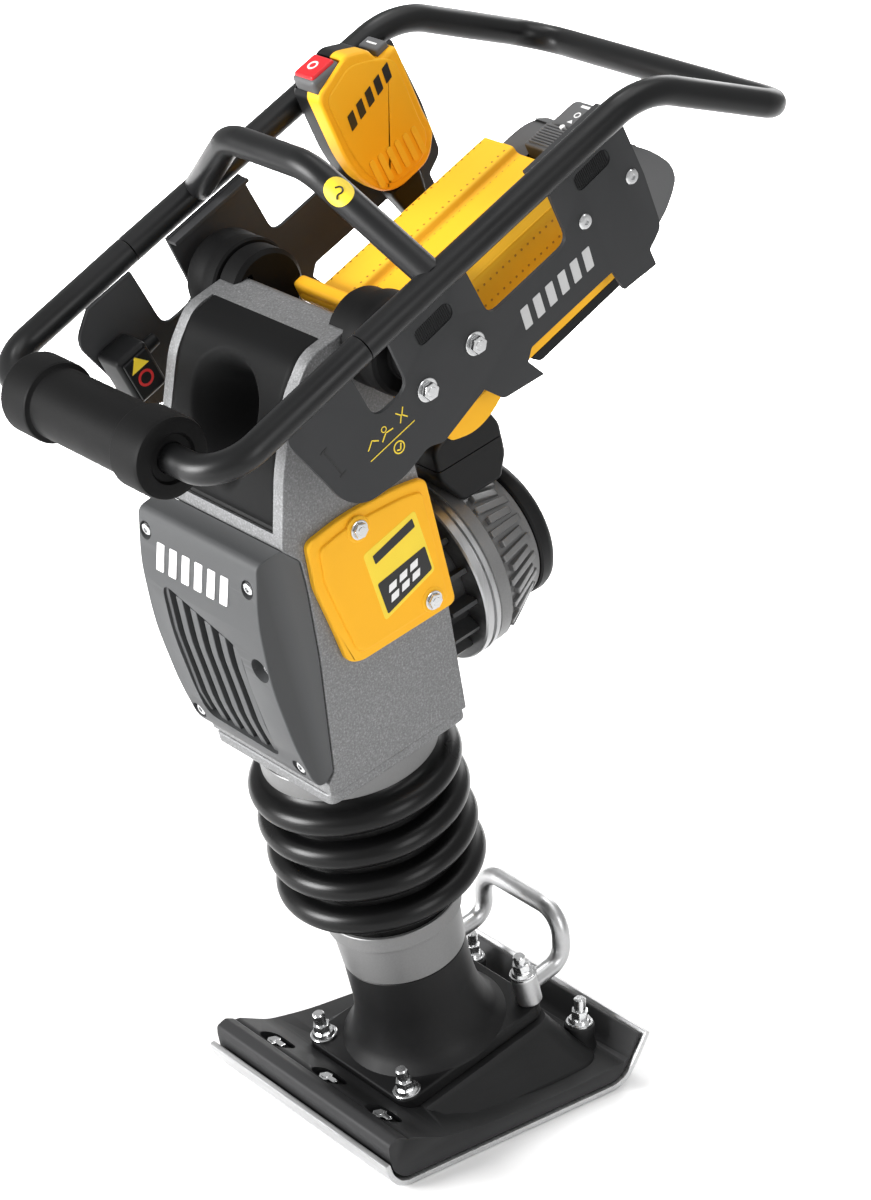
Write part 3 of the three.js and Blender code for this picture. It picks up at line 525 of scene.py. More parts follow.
def hex_bolt(head=8, height=5, washer=10.5, axis="z", at=(0, 0, 0), facing=1, spin=0.2):
    """A chamfered hexagon head on a washer, standing up from at along the axis."""
    profile = lathe([(0, 0), (washer, 0), (washer, 1.6), (washer - 0.6, 2), (0, 2)], segments=32)
    body = soften(prism(circle(head, 6, spin), "z", (2, 2 + height)), 0.9, 2, 50)
    dimple = lathe([(0, 2 + height), (head * 0.55, 2 + height), (head * 0.5, 2.6 + height),
                    (0, 2.6 + height)], segments=24)
    return stood(joined(profile, body, dimple), axis, at, facing)


def round_screw(radius=7, height=4, axis="z", at=(0, 0, 0), facing=1):
    """A domed screw with a hexagon socket."""
    dome = lathe([(0, 0), (radius, 0), (radius, height * 0.45), (radius * 0.88, height * 0.8),
                  (radius * 0.6, height), (0, height)], segments=32)
    socket = prism(circle(radius * 0.42, 6), "z", (height * 0.4, height + 2))
    return stood(combined(dome, socket), axis, at, facing)


def stood(bm, axis, at, facing=1):
    """A mesh built up the z axis, stood on at along another direction."""
    if axis == "x":
        turn(bm, Matrix.Rotation(facing * math.pi / 2, 4, "Y"))
    elif axis == "y":
        turn(bm, Matrix.Rotation(-facing * math.pi / 2, 4, "X"))
    elif facing < 0:
        turn(bm, Matrix.Rotation(math.pi, 4, "X"))
    return moved(bm, *at)


def stud_nut(at, height=28):
    """A washer, a flanged nut and the end of its stud."""
    washer = lathe([(0, 0), (13.5, 0), (13.5, 2), (12.8, 2.6), (0, 2.6)], segments=36)
    skirt = lathe([(0, 2.6), (11.5, 2.6), (10.2, 6), (0, 6)], segments=36)
    nut = soften(prism(circle(9.2, 6, 0.3), "z", (5, 15)), 1.2, 2, 50)
    stud = lathe([(0, 15), (6, 15), (6, height - 1.5), (4.8, height), (0, height)], segments=28)
    return moved(joined(washer, skirt, nut, stud), *at)


# ---------- shoe and leg ----------

SOLE_HALF = 140
SHOE_HALF = 136
SOLE_THICKNESS = 6
# The leg's foot flange, and the gap round it in the shoe's seat.
FLANGE_HALF_X = 78
FLANGE_HALF_V = 90
FLANGE_CORNER = 16
FLANGE_TOP = 18
SEAT_GAP = 0.4
# The sole's underside from front to back as (y, z, corner radius).
SOLE_LINE = [
    (-163, 30, 0), (-158, 15, 6), (-147, 3.2, 6), (-135, 0, 4), (125, 0, 6), (140, 7, 7),
    (152, 24, 10), (166, 49, 0),
]


def sole_strip(line, thickness):
    """A side outline of even thickness, laid inside an open line."""
    outer = rounded(line, 5)
    inner = []
    for i, point in enumerate(outer):
        before = outer[max(i - 1, 0)]
        after = outer[min(i + 1, len(outer) - 1)]
        along = (after - before).normalized()
        inner.append(point + Vector((-along.y, along.x)) * thickness)
    return [tuple(point) for point in outer + inner[::-1]]


def make_wear_plate():
    plate = prism(sole_strip(SOLE_LINE, SOLE_THICKNESS), "x", (-SOLE_HALF, SOLE_HALF))
    soften(plate, 1.5, 2, 60)
    piece("wear_plate_steel", plate, UPRIGHT, "foot", "sole_steel", ["wear_plate"])


def lofted(sections, corner_steps=6):
    """Skins rounded rectangles (x0, x1, y0, y1, z, radius, slope) that stand one above the other."""
    bm = bmesh.new()
    rings = []
    for x0, x1, y0, y1, z, radius, slope in sections:
        outline = rounded(rectangle((x0, x1), (y0, y1), radius), corner_steps)
        rings.append([bm.verts.new((a, b, z + slope * b)) for a, b in outline])
    return skinned(bm, rings)


def slot_block(x, y, half_length, half_width, z):
    """A block with fully rounded ends, standing from z[0] to z[1]."""
    outline = rectangle((x - half_length, x + half_length), (y - half_width, y + half_width),
                        half_width * 0.98)
    return prism(outline, "z", z, 6)


POCKET_XS = (-83.6, 0, 83.6)
POCKET_Y = -121
REAR_STUD = (83, 124)


def make_shoe():
    deck = [
        (-155.5, 40, 2), (-151.5, 21, 6), (-142, 11, 6), (-132, 7.3, 0), (124, 7.3, 4),
        (134.5, 13, 6), (145, 28, 8), (157, 49, 1), (153, 51.5, 3), (141, 25, 9),
        (60, 21, 20), (-47, 26, 20), (-94, 33, 10), (-131, 49, 5), (-134, 48, 1),
        (-136, 50, 2), (-146, 54, 3), (-156, 49, 3),
    ]
    pan = soften(prism(deck, "x", (-SHOE_HALF, SHOE_HALF), 5), 3, 3, 60)
    slope = math.tan(RAM_ANGLE)
    pedestal = lofted([
        (-121, 121, -112, 130, 12, 30, 0.02),
        (-117, 117, -108, 127, 23, 30, 0.03),
        (-104, 104, -101, 112, 32, 26, 0.09),
        (-91, 91, -96, 95, 42, 20, 0.2),
        (-84, 84, -92, 86, 48.7, 16, slope),
    ])
    bosses = [
        lathe([(0, 20), (20, 20), (17, 27), (15, 33), (15, 48), (14, 49), (0, 49)],
              centre=(side * REAR_STUD[0], REAR_STUD[1], 0), segments=32)
        for side in (-1, 1)
    ]
    reach_x = FLANGE_HALF_X + SEAT_GAP
    reach_v = FLANGE_HALF_V + SEAT_GAP
    seat = prism(rectangle((-reach_x, reach_x), (-reach_v, reach_v), FLANGE_CORNER), "z", (3.7, 90))
    turn(seat, UPRIGHT.inverted() @ RAM)
    pockets = [slot_block(x, POCKET_Y, 20, 11.5, (34, 70)) for x in POCKET_XS]
    shoe = combined(combined(pan, pedestal, *bosses, operation="UNION"), seat, *pockets)
    piece("shoe_casting", shoe, UPRIGHT, "foot", "shoe_paint", ["shoe_body"], 28)
    for i, x in enumerate(POCKET_XS):
        nut = hex_bolt(7.5, 7, 10, at=(x - 5, POCKET_Y - 1, 34))
        bar = moved(soften(box((-4, 10), (-3.5, 3.5), (0, 9)), 2, 2), x, POCKET_Y, 34.5)
        piece(f"pocket_nut_{i}", joined(nut, bar), UPRIGHT, "foot", "steel")
    for side, name in reversed(SIDES):
        nut = stud_nut((side * REAR_STUD[0], REAR_STUD[1], 49))
        piece(f"rear_stud_{name}", nut, UPRIGHT, "foot", "steel")


def make_leg():
    flange = prism(rectangle((-FLANGE_HALF_X, FLANGE_HALF_X), (-FLANGE_HALF_V, FLANGE_HALF_V),
                             FLANGE_CORNER), "z", (4, FLANGE_TOP))
    soften(flange, 2.5, 3, 60)
    flare = [(0, 17), (82, 17), (80, 19.5), (74, 24), (68.5, 32), (64.5, 44), (61.5, 58),
             (60, 74), (60, 115), (59, 116), (0, 116)]
    pot = lathe(flare, segments=80)
    piece("leg_foot", joined(flange, pot), RAM, "foot", "leg_paint", ["leg_casting"])
    cylinder = lathe([(45, 41), (45, 332), (52, 332), (52, 178), (57, 178), (57, 160),
                      (61.6, 160), (62.4, 159), (60.4, 117.2), (59.5, 116.3), (52, 116.3),
                      (52, 33), (0, 33), (0, 41)], segments=80)
    piece("spring_cylinder_cast", cylinder, RAM, "foot", "satin_casting", ["spring_cylinder"])
    clamp = lathe([(62.4, 160.5), (65.4, 160.5), (66, 161.2), (66, 175.8), (65.4, 176.6),
                   (62.4, 176.6)], segments=80)
    piece("lower_clamp_band", clamp, RAM, "foot", "satin_casting", ["lower_clamp_ring"])
    for end, x, v in (("front_left", -65, -76), ("front_right", 65, -76)):
        stud = stud_nut((x, v, FLANGE_TOP + 0.3))
        piece(f"stud_{end}", stud, RAM, "foot", "steel", [f"flange_stud_{end}"])


HANDLE_BOSS = (62, 84)


def make_foot_handle():
    half = [(60, 84, 33, 0), (59, 134, 33, 20), (58, 144, 84, 26)]
    path = half + [(-x, v, u, r) for x, v, u, r in reversed(half)]
    bar = sweep(path, 9, 28, 9)
    bosses = [
        lathe([(0, 18.4), (13, 18.4), (13, 47), (12, 49.5), (0, 49.5)],
              centre=(side * HANDLE_BOSS[0], HANDLE_BOSS[1], 0), segments=40)
        for side in (-1, 1)
    ]
    piece("carrying_handle", joined(bar, *bosses), RAM, "foot", "bar_metal", ["foot_handle"])
    for side, name in reversed(SIDES):
        nut = stud_nut((side * HANDLE_BOSS[0], HANDLE_BOSS[1], 49.5), 24)
        piece(f"carrying_handle_bolt_{name}", nut, RAM, "foot", "steel")


# ---------- bellows ----------

RIB_RADIUS = 101
RIB_CORE = 80
FIRST_RIB_U = 219
RIB_PITCH = 38.3
RIBS = 4
RIB_STEPS = 14


def bellows_wall(inset):
    points = [(62 - inset, 160.6), (62 - inset, 177), (64 - inset, 186), (73 - inset, 196)]
    for i in range(RIBS):
        middle = FIRST_RIB_U + i * RIB_PITCH
        for k in range(RIB_STEPS + 1):
            angle = math.radians(-84 + 168 * k / RIB_STEPS)
            bulge = (RIB_RADIUS - RIB_CORE) * math.cos(angle) ** 0.8
            points.append((RIB_CORE + bulge - inset, middle + 0.36 * RIB_PITCH * math.sin(angle)))
    points += [(78 - inset, 356), (78 - inset, 375.5)]
    return points


def make_bellows():
    outer = bellows_wall(0)
    inner = bellows_wall(3)
    skin = lathe(outer + inner[::-1], segments=96)
    bellows = piece("bellows_rubber", skin, RAM, None, "rubber", ["bellows"], 50, False)
    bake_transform(bellows)
    ring = lathe([(79, 355.3), (83.2, 355.3), (84, 356.2), (84, 374.8), (83.2, 375.7),
                  (79, 375.7)], segments=96)
    piece("upper_clamp_band", ring, RAM, "upper", "satin_casting", ["upper_clamp_ring"])


SPRING_WIRE = 4.5
SPRING_RADIUS = 35
STEPS_PER_TURN = 20


def make_springs():
    """Two compression springs, one below and one above the piston."""
    for name, low, high, turns in (("lower", 42, 181, 6), ("upper", 199, 313, 5)):
        bottom = low + SPRING_WIRE
        rise = high - low - 2 * SPRING_WIRE
        count = turns * STEPS_PER_TURN
        points = []
        for k in range(count + 1):
            angle = math.tau * k / STEPS_PER_TURN
            points.append((SPRING_RADIUS * math.cos(angle), SPRING_RADIUS * math.sin(angle),
                           bottom + rise * k / count, 0.01))
        coil = sweep(points, SPRING_WIRE, 12, 1)
        spring = piece(f"{name}_spring_coil", coil, RAM, None, "steel", [f"{name}_spring"], 50)
        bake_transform(spring)


# ---------- crankcase ----------

CASE_HALF = 90
CASE_WALL = 9
GUIDE_BORE = 62.3
MOTOR_AT = (0, 0, 478)
BRACKET_AT = (0, 79, 776)
INSERT_HALF = 76
CASE_FRONT = [
    (-83, 389, 2), (-83, 402, 2), (-73, 411, 3), (-57, 523, 10), (-51, 593, 6), (-51, 622, 3),
    (-66, 640, 3), (-47, 701, 10), (-19, 764, 12), (8, 792, 12),
]
# The intake panel's outer face from its foot up, as (v, u).
PANEL_LINE = [(-60, 656), (-47, 700), (-36, 727), (-22, 757), (-12, 772), (3, 787), (30, 794)]
PANEL_DEPTH = 6
PANEL_GAP = 5
PANEL_ROUND = 3
PANEL_PROUD = 0.6
BOWL_AT = 0.54
BOWL_HALF_X = 50
BOWL_UP = 0.235
BOWL_DOWN = 0.5
BOWL_DEPTH = 60


def smooth_line(points, steps):
    """Evenly spaced places on a smooth curve through (a, b) points, with the outward normals."""
    places = []
    for i in range(len(points) - 1):
        p0 = Vector(points[max(i - 1, 0)])
        p1 = Vector(points[i])
        p2 = Vector(points[i + 1])
        p3 = Vector(points[min(i + 2, len(points) - 1)])
        for k in range(12):
            t = k / 12
            places.append(0.5 * (2 * p1 + (p2 - p0) * t + (2 * p0 - 5 * p1 + 4 * p2 - p3) * t ** 2
                                 + (3 * p1 - p0 - 3 * p2 + p3) * t ** 3))
    places.append(Vector(points[-1]))
    lengths = [0]
    for before, after in zip(places, places[1:]):
        lengths.append(lengths[-1] + (after - before).length)
    line = []
    for k in range(steps + 1):
        target = lengths[-1] * k / steps
        i = max(j for j in range(len(lengths)) if lengths[j] <= target + 1e-9)
        i = min(i, len(places) - 2)
        share = (target - lengths[i]) / (lengths[i + 1] - lengths[i])
        along = (places[i + 1] - places[i]).normalized()
        line.append((places[i].lerp(places[i + 1], share), Vector((-along.y, along.x))))
    return line


def smoothstep(t):
    t = min(max(t, 0), 1)
    return t * t * (3 - 2 * t)


def bowl_depth(x, share):
    """How deep the hand bowl is below the panel's face."""
    up = (share - BOWL_AT) / (BOWL_UP if share > BOWL_AT else BOWL_DOWN)
    distance = math.sqrt((x / BOWL_HALF_X) ** 2 + up ** 2)
    return BOWL_DEPTH * smoothstep((1 - distance) / 0.8)


def make_insert():
    across_steps = 60
    up_steps = 70
    line = smooth_line(PANEL_LINE, up_steps)
    bm = bmesh.new()
    faces = []
    for depth in (0, PANEL_DEPTH):
        rows = []
        for k, (place, normal) in enumerate(line):
            row = []
            for i in range(across_steps + 1):
                x = INSERT_HALF * (2 * i / across_steps - 1)
                sink = depth + bowl_depth(x, k / up_steps)
                if depth == 0:
                    edge = min(INSERT_HALF - abs(x), INSERT_HALF * k / up_steps * 1.5, PANEL_ROUND)
                    sink += 1.6 * (1 - smoothstep(edge / PANEL_ROUND)) - PANEL_PROUD
                spot = place - normal * sink
                row.append(bm.verts.new((x, spot.x, spot.y)))
            rows.append(row)
        faces.append(rows)
    front, back = faces
    for rows in faces:
        for low, high in zip(rows, rows[1:]):
            for i in range(across_steps):
                bm.faces.new((low[i], low[i + 1], high[i + 1], high[i]))
    for rows in (0, -1):
        for i in range(across_steps):
            bm.faces.new((front[rows][i], front[rows][i + 1], back[rows][i + 1], back[rows][i]))
    for column in (0, -1):
        for k in range(up_steps):
            bm.faces.new((front[k][column], front[k + 1][column], back[k + 1][column],
                          back[k][column]))
    bmesh.ops.recalc_face_normals(bm, faces=bm.faces)
    piece("intake_panel", bm, RAM, "upper", "panel_plastic", ["intake_insert"], 35)


def make_crankcase():
    outside = CASE_FRONT + [(65, 799, 10), (84, 690, 6), (84, 503, 6), (76, 389, 2)]
    inside = [(-64, 398), (-63, 411), (-47, 523), (-42, 593), (-42, 622), (-52, 645),
              (-36, 700), (-12, 752), (8, 778), (56, 786), (73, 690), (73, 503), (66, 398)]
    shell = prism(outside, "x", (-CASE_HALF, CASE_HALF), 5)
    soften(shell, 5.5, 4, 60)
    room = prism(inside, "x", (CASE_WALL - CASE_HALF, CASE_HALF - CASE_WALL))
    bore = tube(0, GUIDE_BORE, (388, 412))
    motor_bore = tube(0, 58, (60, 100), "y", MOTOR_AT)
    line = smooth_line(PANEL_LINE, 24)
    foot, foot_normal = line[0]
    down = Vector((foot_normal.y, -foot_normal.x))
    down *= math.copysign(PANEL_GAP, -down.y)
    line = [(foot + down, foot_normal)] + line
    pocket_line = [place + normal * 12 for place, normal in line]
    pocket_line += [place - normal * (PANEL_DEPTH + 0.4) for place, normal in reversed(line)]
    pocket = prism([tuple(point) for point in pocket_line], "x", (-INSERT_HALF - 0.4, INSERT_HALF + 0.4))
    window = prism([(-80, 668), (-30, 780), (10, 770), (-20, 660)], "x", (-46, 46))
    case = combined(shell, room, bore, motor_bore, pocket, window)
    # A dark strip under the intake panel's foot, given the rubber finish: painted shade for the shadow gap below
    # the panel.
    gap_shade_line = [foot + down * 0.94 - foot_normal * 1.5, foot - foot_normal * 1.5,
                 foot - foot_normal * PANEL_DEPTH, foot + down * 0.94 - foot_normal * PANEL_DEPTH]
    gap_shade_strip = prism([tuple(point) for point in gap_shade_line], "x", (-INSERT_HALF, INSERT_HALF))
    piece("intake_gap_shade", gap_shade_strip, RAM, "upper", "rubber")
    piece("crankcase_casting", case, RAM, "upper", "silver_casting", ["crankcase"], 30)
    flange = prism(rectangle((-88, 88), (-84, 76), 10), "z", (377, 388.7))
    soften(flange, 2.2, 3, 60)
    hole = tube(0, GUIDE_BORE, (370, 395))
    piece("case_flange", combined(flange, hole), RAM, "upper", "silver_casting", ["base_flange"])


def make_mount_brackets():
    corner = prism([(0, 600), (0, 792), (65.4, 799.4), (86.4, 690), (86.4, 600)], "x", (50, 95))
    for side, name in SIDES:
        disc_body = lathe([(0, 64), (34, 64), (38, 68), (38, 88), (37, 89.7), (0, 89.7)], "x",
                          BRACKET_AT, 64)
        bracket = combined(disc_body, corner.copy())
        handed(side, RAM, "upper", [
            (f"mount_bracket_{name}_arm", bracket, "roller_rubber", [f"mount_bracket_{name}"]),
        ])
    corner.free()


LOUVRES = 5
LOUVRE_PITCH = 19.6
LOUVRE_FLOOR = 9
LOUVRE_START_X = -50
COVER_SCREWS = [(-77, 621), (74, 615), (78, 536), (74, 424), (-77, 424)]
DEEP_SCREW = 2


def cover_face_v(u):
    """Where the front cover's face is across the ram at a height."""
    line = [(404, -92), (456, -104), (525, -109), (590, -106), (641, -92.5)]
    for (low, v_low), (high, v_high) in zip(line, line[1:]):
        if u <= high:
            return v_low + (v_high - v_low) * (u - low) / (high - low)
    return line[-1][1]


def on_cover(bm):
    """Bends a mesh that is built at v = 0 onto the front cover's face."""
    for vert in bm.verts:
        vert.co.y += cover_face_v(vert.co.z)
    return bm


def cut_finely(bm, step):
    """Adds rings of vertices along z, so that a long mesh can bend."""
    low = min(vert.co.z for vert in bm.verts)
    high = max(vert.co.z for vert in bm.verts)
    for k in range(1, int((high - low) / step)):
        bmesh.ops.bisect_plane(bm, geom=bm.verts[:] + bm.edges[:] + bm.faces[:],
                               plane_co=(0, 0, low + k * step), plane_no=(0, 0, 1))
    return bm


def make_front_cover():
    outside = [
        (-84, 404, 0), (-90, 404, 4), (-96, 414, 6), (-104, 456, 20), (-110, 525, 24),
        (-106, 590, 20), (-93, 640, 7), (-67, 641, 0), (-51.8, 622, 0), (-51.8, 593, 0),
        (-57.8, 523, 0), (-73.8, 411, 0),
    ]
    inside = [(-40, 411), (-82, 411), (-92, 460), (-96, 525), (-92, 590), (-84, 633), (-40, 633)]
    shell = prism(outside, "x", (-88, 88), 6)
    soften(shell, 9, 4, 50, lambda edge: all(v.co.y < -78 for v in edge.verts))
    cover = combined(shell, prism(inside, "x", (-80, 80)))
    field = cut_finely(prism([(-60, 428, 14), (49, 424, 14), (49, 548, 16), (-60, 578, 16)], "y",
                             (-20, LOUVRE_FLOOR), 6), 12)
    cutters = [on_cover(field)]
    x, u = COVER_SCREWS[DEEP_SCREW]
    scoop = [(0, -20), (15, -20), (10, 9), (0, 9)]
    cutters.append(lathe(scoop, "y", (x - 4, cover_face_v(u), u), 40))
    well = [(0, -20), (9, -20), (8.4, 4), (0, 4)]
    cutters += [lathe(well, "y", (x, cover_face_v(u), u), 32) for x, u in COVER_SCREWS]
    for cutter in cutters:
        cover = combined(cover, cutter)
    piece("front_cover_shell", cover, RAM, "upper", "grey_plastic", ["front_cover"], 30)
    # A near-black sheet at the louvres' floor depth: painted shade for the dark inside of the grille pocket.
    shadow = prism([(-59, 429, 13), (48, 425, 13), (48, 547, 15), (-59, 577, 15)], "y",
                   (LOUVRE_FLOOR - 0.6, LOUVRE_FLOOR + 0.6), 6)
    shadow = on_cover(cut_finely(shadow, 12))
    piece("front_cover_grille_painted_shade", shadow, RAM, "upper", "black_print_and_shade", [], 40)
    vanes = []
    for i in range(LOUVRES + 1):
        x = LOUVRE_START_X + (i - 0.5) * LOUVRE_PITCH
        low = 424.5 if i else 432
        high = 573 - 5.6 * i
        half = 4.6 if 0 < i < LOUVRES else 5
        vane = prism([(x - half, low, 1), (x + half, low, 1), (x + half, high - 2, 1),
                      (x - half, high, 1)], "y", (2.2, LOUVRE_FLOOR + 0.4), 2)
        vanes.append(on_cover(cut_finely(soften(vane, 1.2, 2, 50), 12)))
    piece("front_cover_vanes", joined(*vanes), RAM, "upper", "grey_plastic", [], 60)
    for i, (x, u) in enumerate(COVER_SCREWS):
        depth = 8 if i == DEEP_SCREW else 3.6
        screw = round_screw(6.6, 4, "y", (x, cover_face_v(u) + depth, u), -1)
        piece(f"cover_screw_{i}", screw, RAM, "upper", "steel")
    bars = [slanted_bar(-62 + 19 * k, 590, (11, 26), (3, 0), "y", (-0.5, 1.5), 1, 3)
            for k in range(6)]
    bars = [on_cover(cut_finely(bar, 6)) for bar in bars]
    piece("front_cover_mark", joined(*bars), RAM, "upper", "white_print")


SIDE_COVER = [
    (-45, 637, 8), (0, 643, 20), (60, 638, 16), (87, 632, 8), (88, 501, 8), (-23, 502, 8),
    (-35, 510, 6), (-40, 546, 12), (-48, 593, 6),
]
SIDE_PANEL = [
    (-36, 628, 6), (0, 634, 16), (60, 629, 10), (79, 624, 6), (80, 510, 6), (-24, 511, 10),
    (-31, 548, 12), (-39, 593, 6),
]
COVER_BOLTS = ((6, 626), (62, 520))


def inset(points, amount):
    """An outline moved inwards by an amount, which keeps its corner radii."""
    places = [Vector(point[:2]) for point in points]
    area = sum(a.x * b.y - b.x * a.y for a, b in zip(places, places[1:] + places[:1]))
    inward = 1 if area > 0 else -1
    out = []
    for i, here in enumerate(places):
        into = (here - places[i - 1]).normalized()
        onward = (places[(i + 1) % len(places)] - here).normalized()
        first = Vector((-into.y, into.x)) * inward
        second = Vector((-onward.y, onward.x)) * inward
        middle = (first + second).normalized()
        moved_to = here + middle * amount / max(0.35, middle.dot(first))
        out.append((moved_to.x, moved_to.y, points[i][2]))
    return out


def stepped(outline, levels, axis="x", arc_steps=6):
    """A plate through the outline moved inwards, at (amount, place) levels along the axis."""
    bm = bmesh.new()
    rings = []
    for amount, place in levels:
        points = rounded(inset(outline, amount), arc_steps)
        rings.append([bm.verts.new(across(axis, a, b, place)) for a, b in points])
    return skinned(bm, rings)


def make_side_covers():
    for side, name in SIDES:
        base = stepped(SIDE_COVER, [(0, 90.3), (0, 95), (0.7, 96.1), (2, 96.7)])
        raised = stepped(SIDE_PANEL, [(0, 95), (0.4, 97.6), (1.2, 99), (3, 99.6)])
        seats = [lathe([(0, 97), (12, 97), (12, 99.9), (11, 100.6), (0, 100.6)], "x", (0, v, u), 32)
                 for v, u in COVER_BOLTS]
        cover = joined(base, raised, *seats)
        label = prism([(10, 528, 4), (72, 546, 4), (66, 612, 4), (4, 600, 4)], "x", (99.1, 99.9))
        soften(label, 0.3, 1, 50)
        dark = prism([(14, 533, 2), (69, 549, 2), (67, 574, 2), (11, 566, 2)], "x", (99.6, 100.1))
        bars = joined(*[
            slanted_bar(v, 540 + 0.26 * (v - 14) + h, (9, 7), (2, 2), "x", (99.8, 100.3), 0.6, 5)
            for v in (20, 33, 46) for h in (0, 10)
        ])
        heading = prism([(14, 585, 1), (62, 597, 1), (61, 606, 1), (13, 594, 1)], "x", (99.6, 100.1))
        bolts = [hex_bolt(7.5, 3, 9, "x", (100.4, v, u), 1) for v, u in COVER_BOLTS]
        handed(side, RAM, "upper", [
            (f"side_cover_{name}_shell", cover, "yellow", [f"side_cover_{name}"]),
            (f"side_label_{name}", label, "yellow_print", []),
            (f"side_label_{name}_field", joined(dark, heading), "black_print_and_shade", []),
            (f"side_label_{name}_bars", bars, "white_print", []),
            (f"side_cover_{name}_bolts", joined(*bolts), "steel", []),
        ])


# ---------- motor ----------

FINS = 44


def fin_mesh(start, end, root, outer, half):
    """One cooling rib from a (v, radius) outline, standing off the housing's cone."""
    outline = [(start, root(start), 0), (start + 2, outer(start), 2), (end - 2, outer(end), 2),
               (end, root(end), 0)]
    return soften(prism(outline, "x", (-half, half), 3), 0.9, 2, 60)


def make_motor():
    neck = tube(50, 66, (89, 119.7), "y", MOTOR_AT)
    ribs = []
    for k in range(16):
        rib = box((62, 82), (90, 119), (-2.2, 2.2))
        turn(rib, Matrix.Rotation(math.tau * k / 16, 4, "Y"))
        ribs.append(moved(rib, *MOTOR_AT))
    piece("motor_neck_ribbed", joined(neck, *ribs), RAM, "upper", "dark_casting", ["motor_neck"])
    ring = lathe([(20, 120), (89.5, 120), (91, 121.5), (91, 128), (88.5, 129), (88.5, 131),
                  (91, 132), (91, 136.5), (89.5, 138), (20, 138)], "y", MOTOR_AT, 96)
    piece("motor_flange_ring", ring, RAM, "upper", "turned", ["motor_ring"])

    def root(v):
        return 85 - max(0, v - 156) * 0.42

    def crown(v):
        return 89.5 - max(0, v - 158) * 0.44

    shell = [(54, 138.3), (88, 138.3), (89.5, 140), (89.5, 152), (87, 154), (85, 156)]
    shell += [(root(v), v) for v in (165, 180, 195)] + [(68, 205), (67, 206), (54, 206)]
    housing = lathe(shell, "y", MOTOR_AT, 96)
    fins = []
    for k in range(FINS):
        start = 154 if k % 2 else 160
        fin = fin_mesh(start, 202 if k % 2 else 196, lambda v: root(v) - 1.5, crown, 3.4)
        turn(fin, Matrix.Rotation(math.tau * k / FINS, 4, "Y"))
        fins.append(moved(fin, *MOTOR_AT))
    piece("motor_housing_finned", joined(housing, *fins), RAM, "upper", "satin_casting",
          ["motor_housing"])
    cap = lathe([(0, 206.3), (69, 206.3), (70.5, 208), (71, 216), (69.5, 221), (65, 225),
                 (58, 226), (20, 226), (18, 224.5), (0, 224.5)], "y", MOTOR_AT, 80)
    piece("motor_cap", cap, RAM, "upper", "black_plastic", ["motor_end_cap"])


def make_electronics_box():
    side = [
        (130, 590, 6), (130, 620, 8), (150, 629, 8), (197, 629, 8), (207, 610, 6),
        (207, 578, 6), (196, 556, 4), (150, 556, 4),
    ]
    body = soften(prism(side, "x", (-52, 52), 4), 5, 3, 50)
    saddle = tube(0, 92, (100, 240), "y", MOTOR_AT, 96)
    recess = soften(box((-28, 44), (148, 189), (620, 640)), 4, 3)
    seam = box((-60, 60), (120, 220), (597, 598.2))
    body = combined(combined(body, saddle, recess), seam)
    piece("electronics_housing", body, RAM, "upper", "black_plastic", ["electronics_box"])
    filler = combined(
        prism([(136, 592), (136, 604), (202, 604), (202, 592)], "x", (-49, 49)),
        tube(0, 92.3, (100, 240), "y", MOTOR_AT, 96),
    )
    piece("electronics_seal", filler, RAM, "upper", "rubber")
    for i, x in enumerate((-20, 36)):
        screw = round_screw(4, 3, at=(x, 168, 620.2))
        piece(f"electronics_screw_{i}", screw, RAM, "upper", "steel")


# ---------- handle frame ----------

TUBE_RADIUS = 13
TUBE_X = 167
SEAM_S = -115
CREST_S = 227
TAIL_S = 359
TAIL_N = -126
BAR_S = -28
PLATE_INNER_X = 149
PLATE_OUTER_X = 153.4
ROLLER_HALF = 102.6


def make_tubes():
    bow = sweep([(TUBE_X, SEAM_S - 0.4, 0, 0), (TUBE_X, BOW_S, BOW_N, 42),
                 (-TUBE_X, BOW_S, BOW_N, 42), (-TUBE_X, SEAM_S - 0.4, 0, 0)], TUBE_RADIUS, 40, 14)
    soften(bow, 0.8, 2, 60)
    piece("front_bow_tube", bow, HANDLE, "handle", "black_paint", ["front_bow"], 40)
    loop = sweep([(TUBE_X, SEAM_S + 0.3, 0, 0), (TUBE_X, CREST_S, 0, 95),
                  (TUBE_X, TAIL_S, TAIL_N, 40), (-TUBE_X, TAIL_S, TAIL_N, 40),
                  (-TUBE_X, CREST_S, 0, 95), (-TUBE_X, SEAM_S + 0.3, 0, 0)], TUBE_RADIUS, 40, 16)
    soften(loop, 0.8, 2, 60)
    piece("rear_loop_tube", loop, HANDLE, "handle", "black_paint", ["rear_loop"], 40)
    arch = sweep([(TUBE_X - 4, BAR_S, 3, 0), (56, BAR_S, 88, 50), (-56, BAR_S, 88, 50),
                  (4 - TUBE_X, BAR_S, 3, 0)], TUBE_RADIUS, 40, 14)
    piece("lifting_bar_tube", arch, HANDLE, "handle", "black_paint", ["lifting_bar"], 40)


def make_roller():
    rim = ROLLER_HALF - 40
    half = [(13.6, ROLLER_HALF - 3), (20, ROLLER_HALF - 3), (22, ROLLER_HALF), (31, ROLLER_HALF),
            (34.6, ROLLER_HALF - 1.4), (36, ROLLER_HALF - 5), (36, rim + 2.5), (35, rim + 0.6),
            (32, rim - 0.6), (31.2, rim - 1.6)]
    profile = half + [(r, -h) for r, h in reversed(half)]
    roller = lathe(profile, "x", (0, BOW_S, BOW_N), 80)
    piece("guide_roller_rubber", roller, HANDLE, "roller", "roller_rubber", ["guide_roller"], 30)


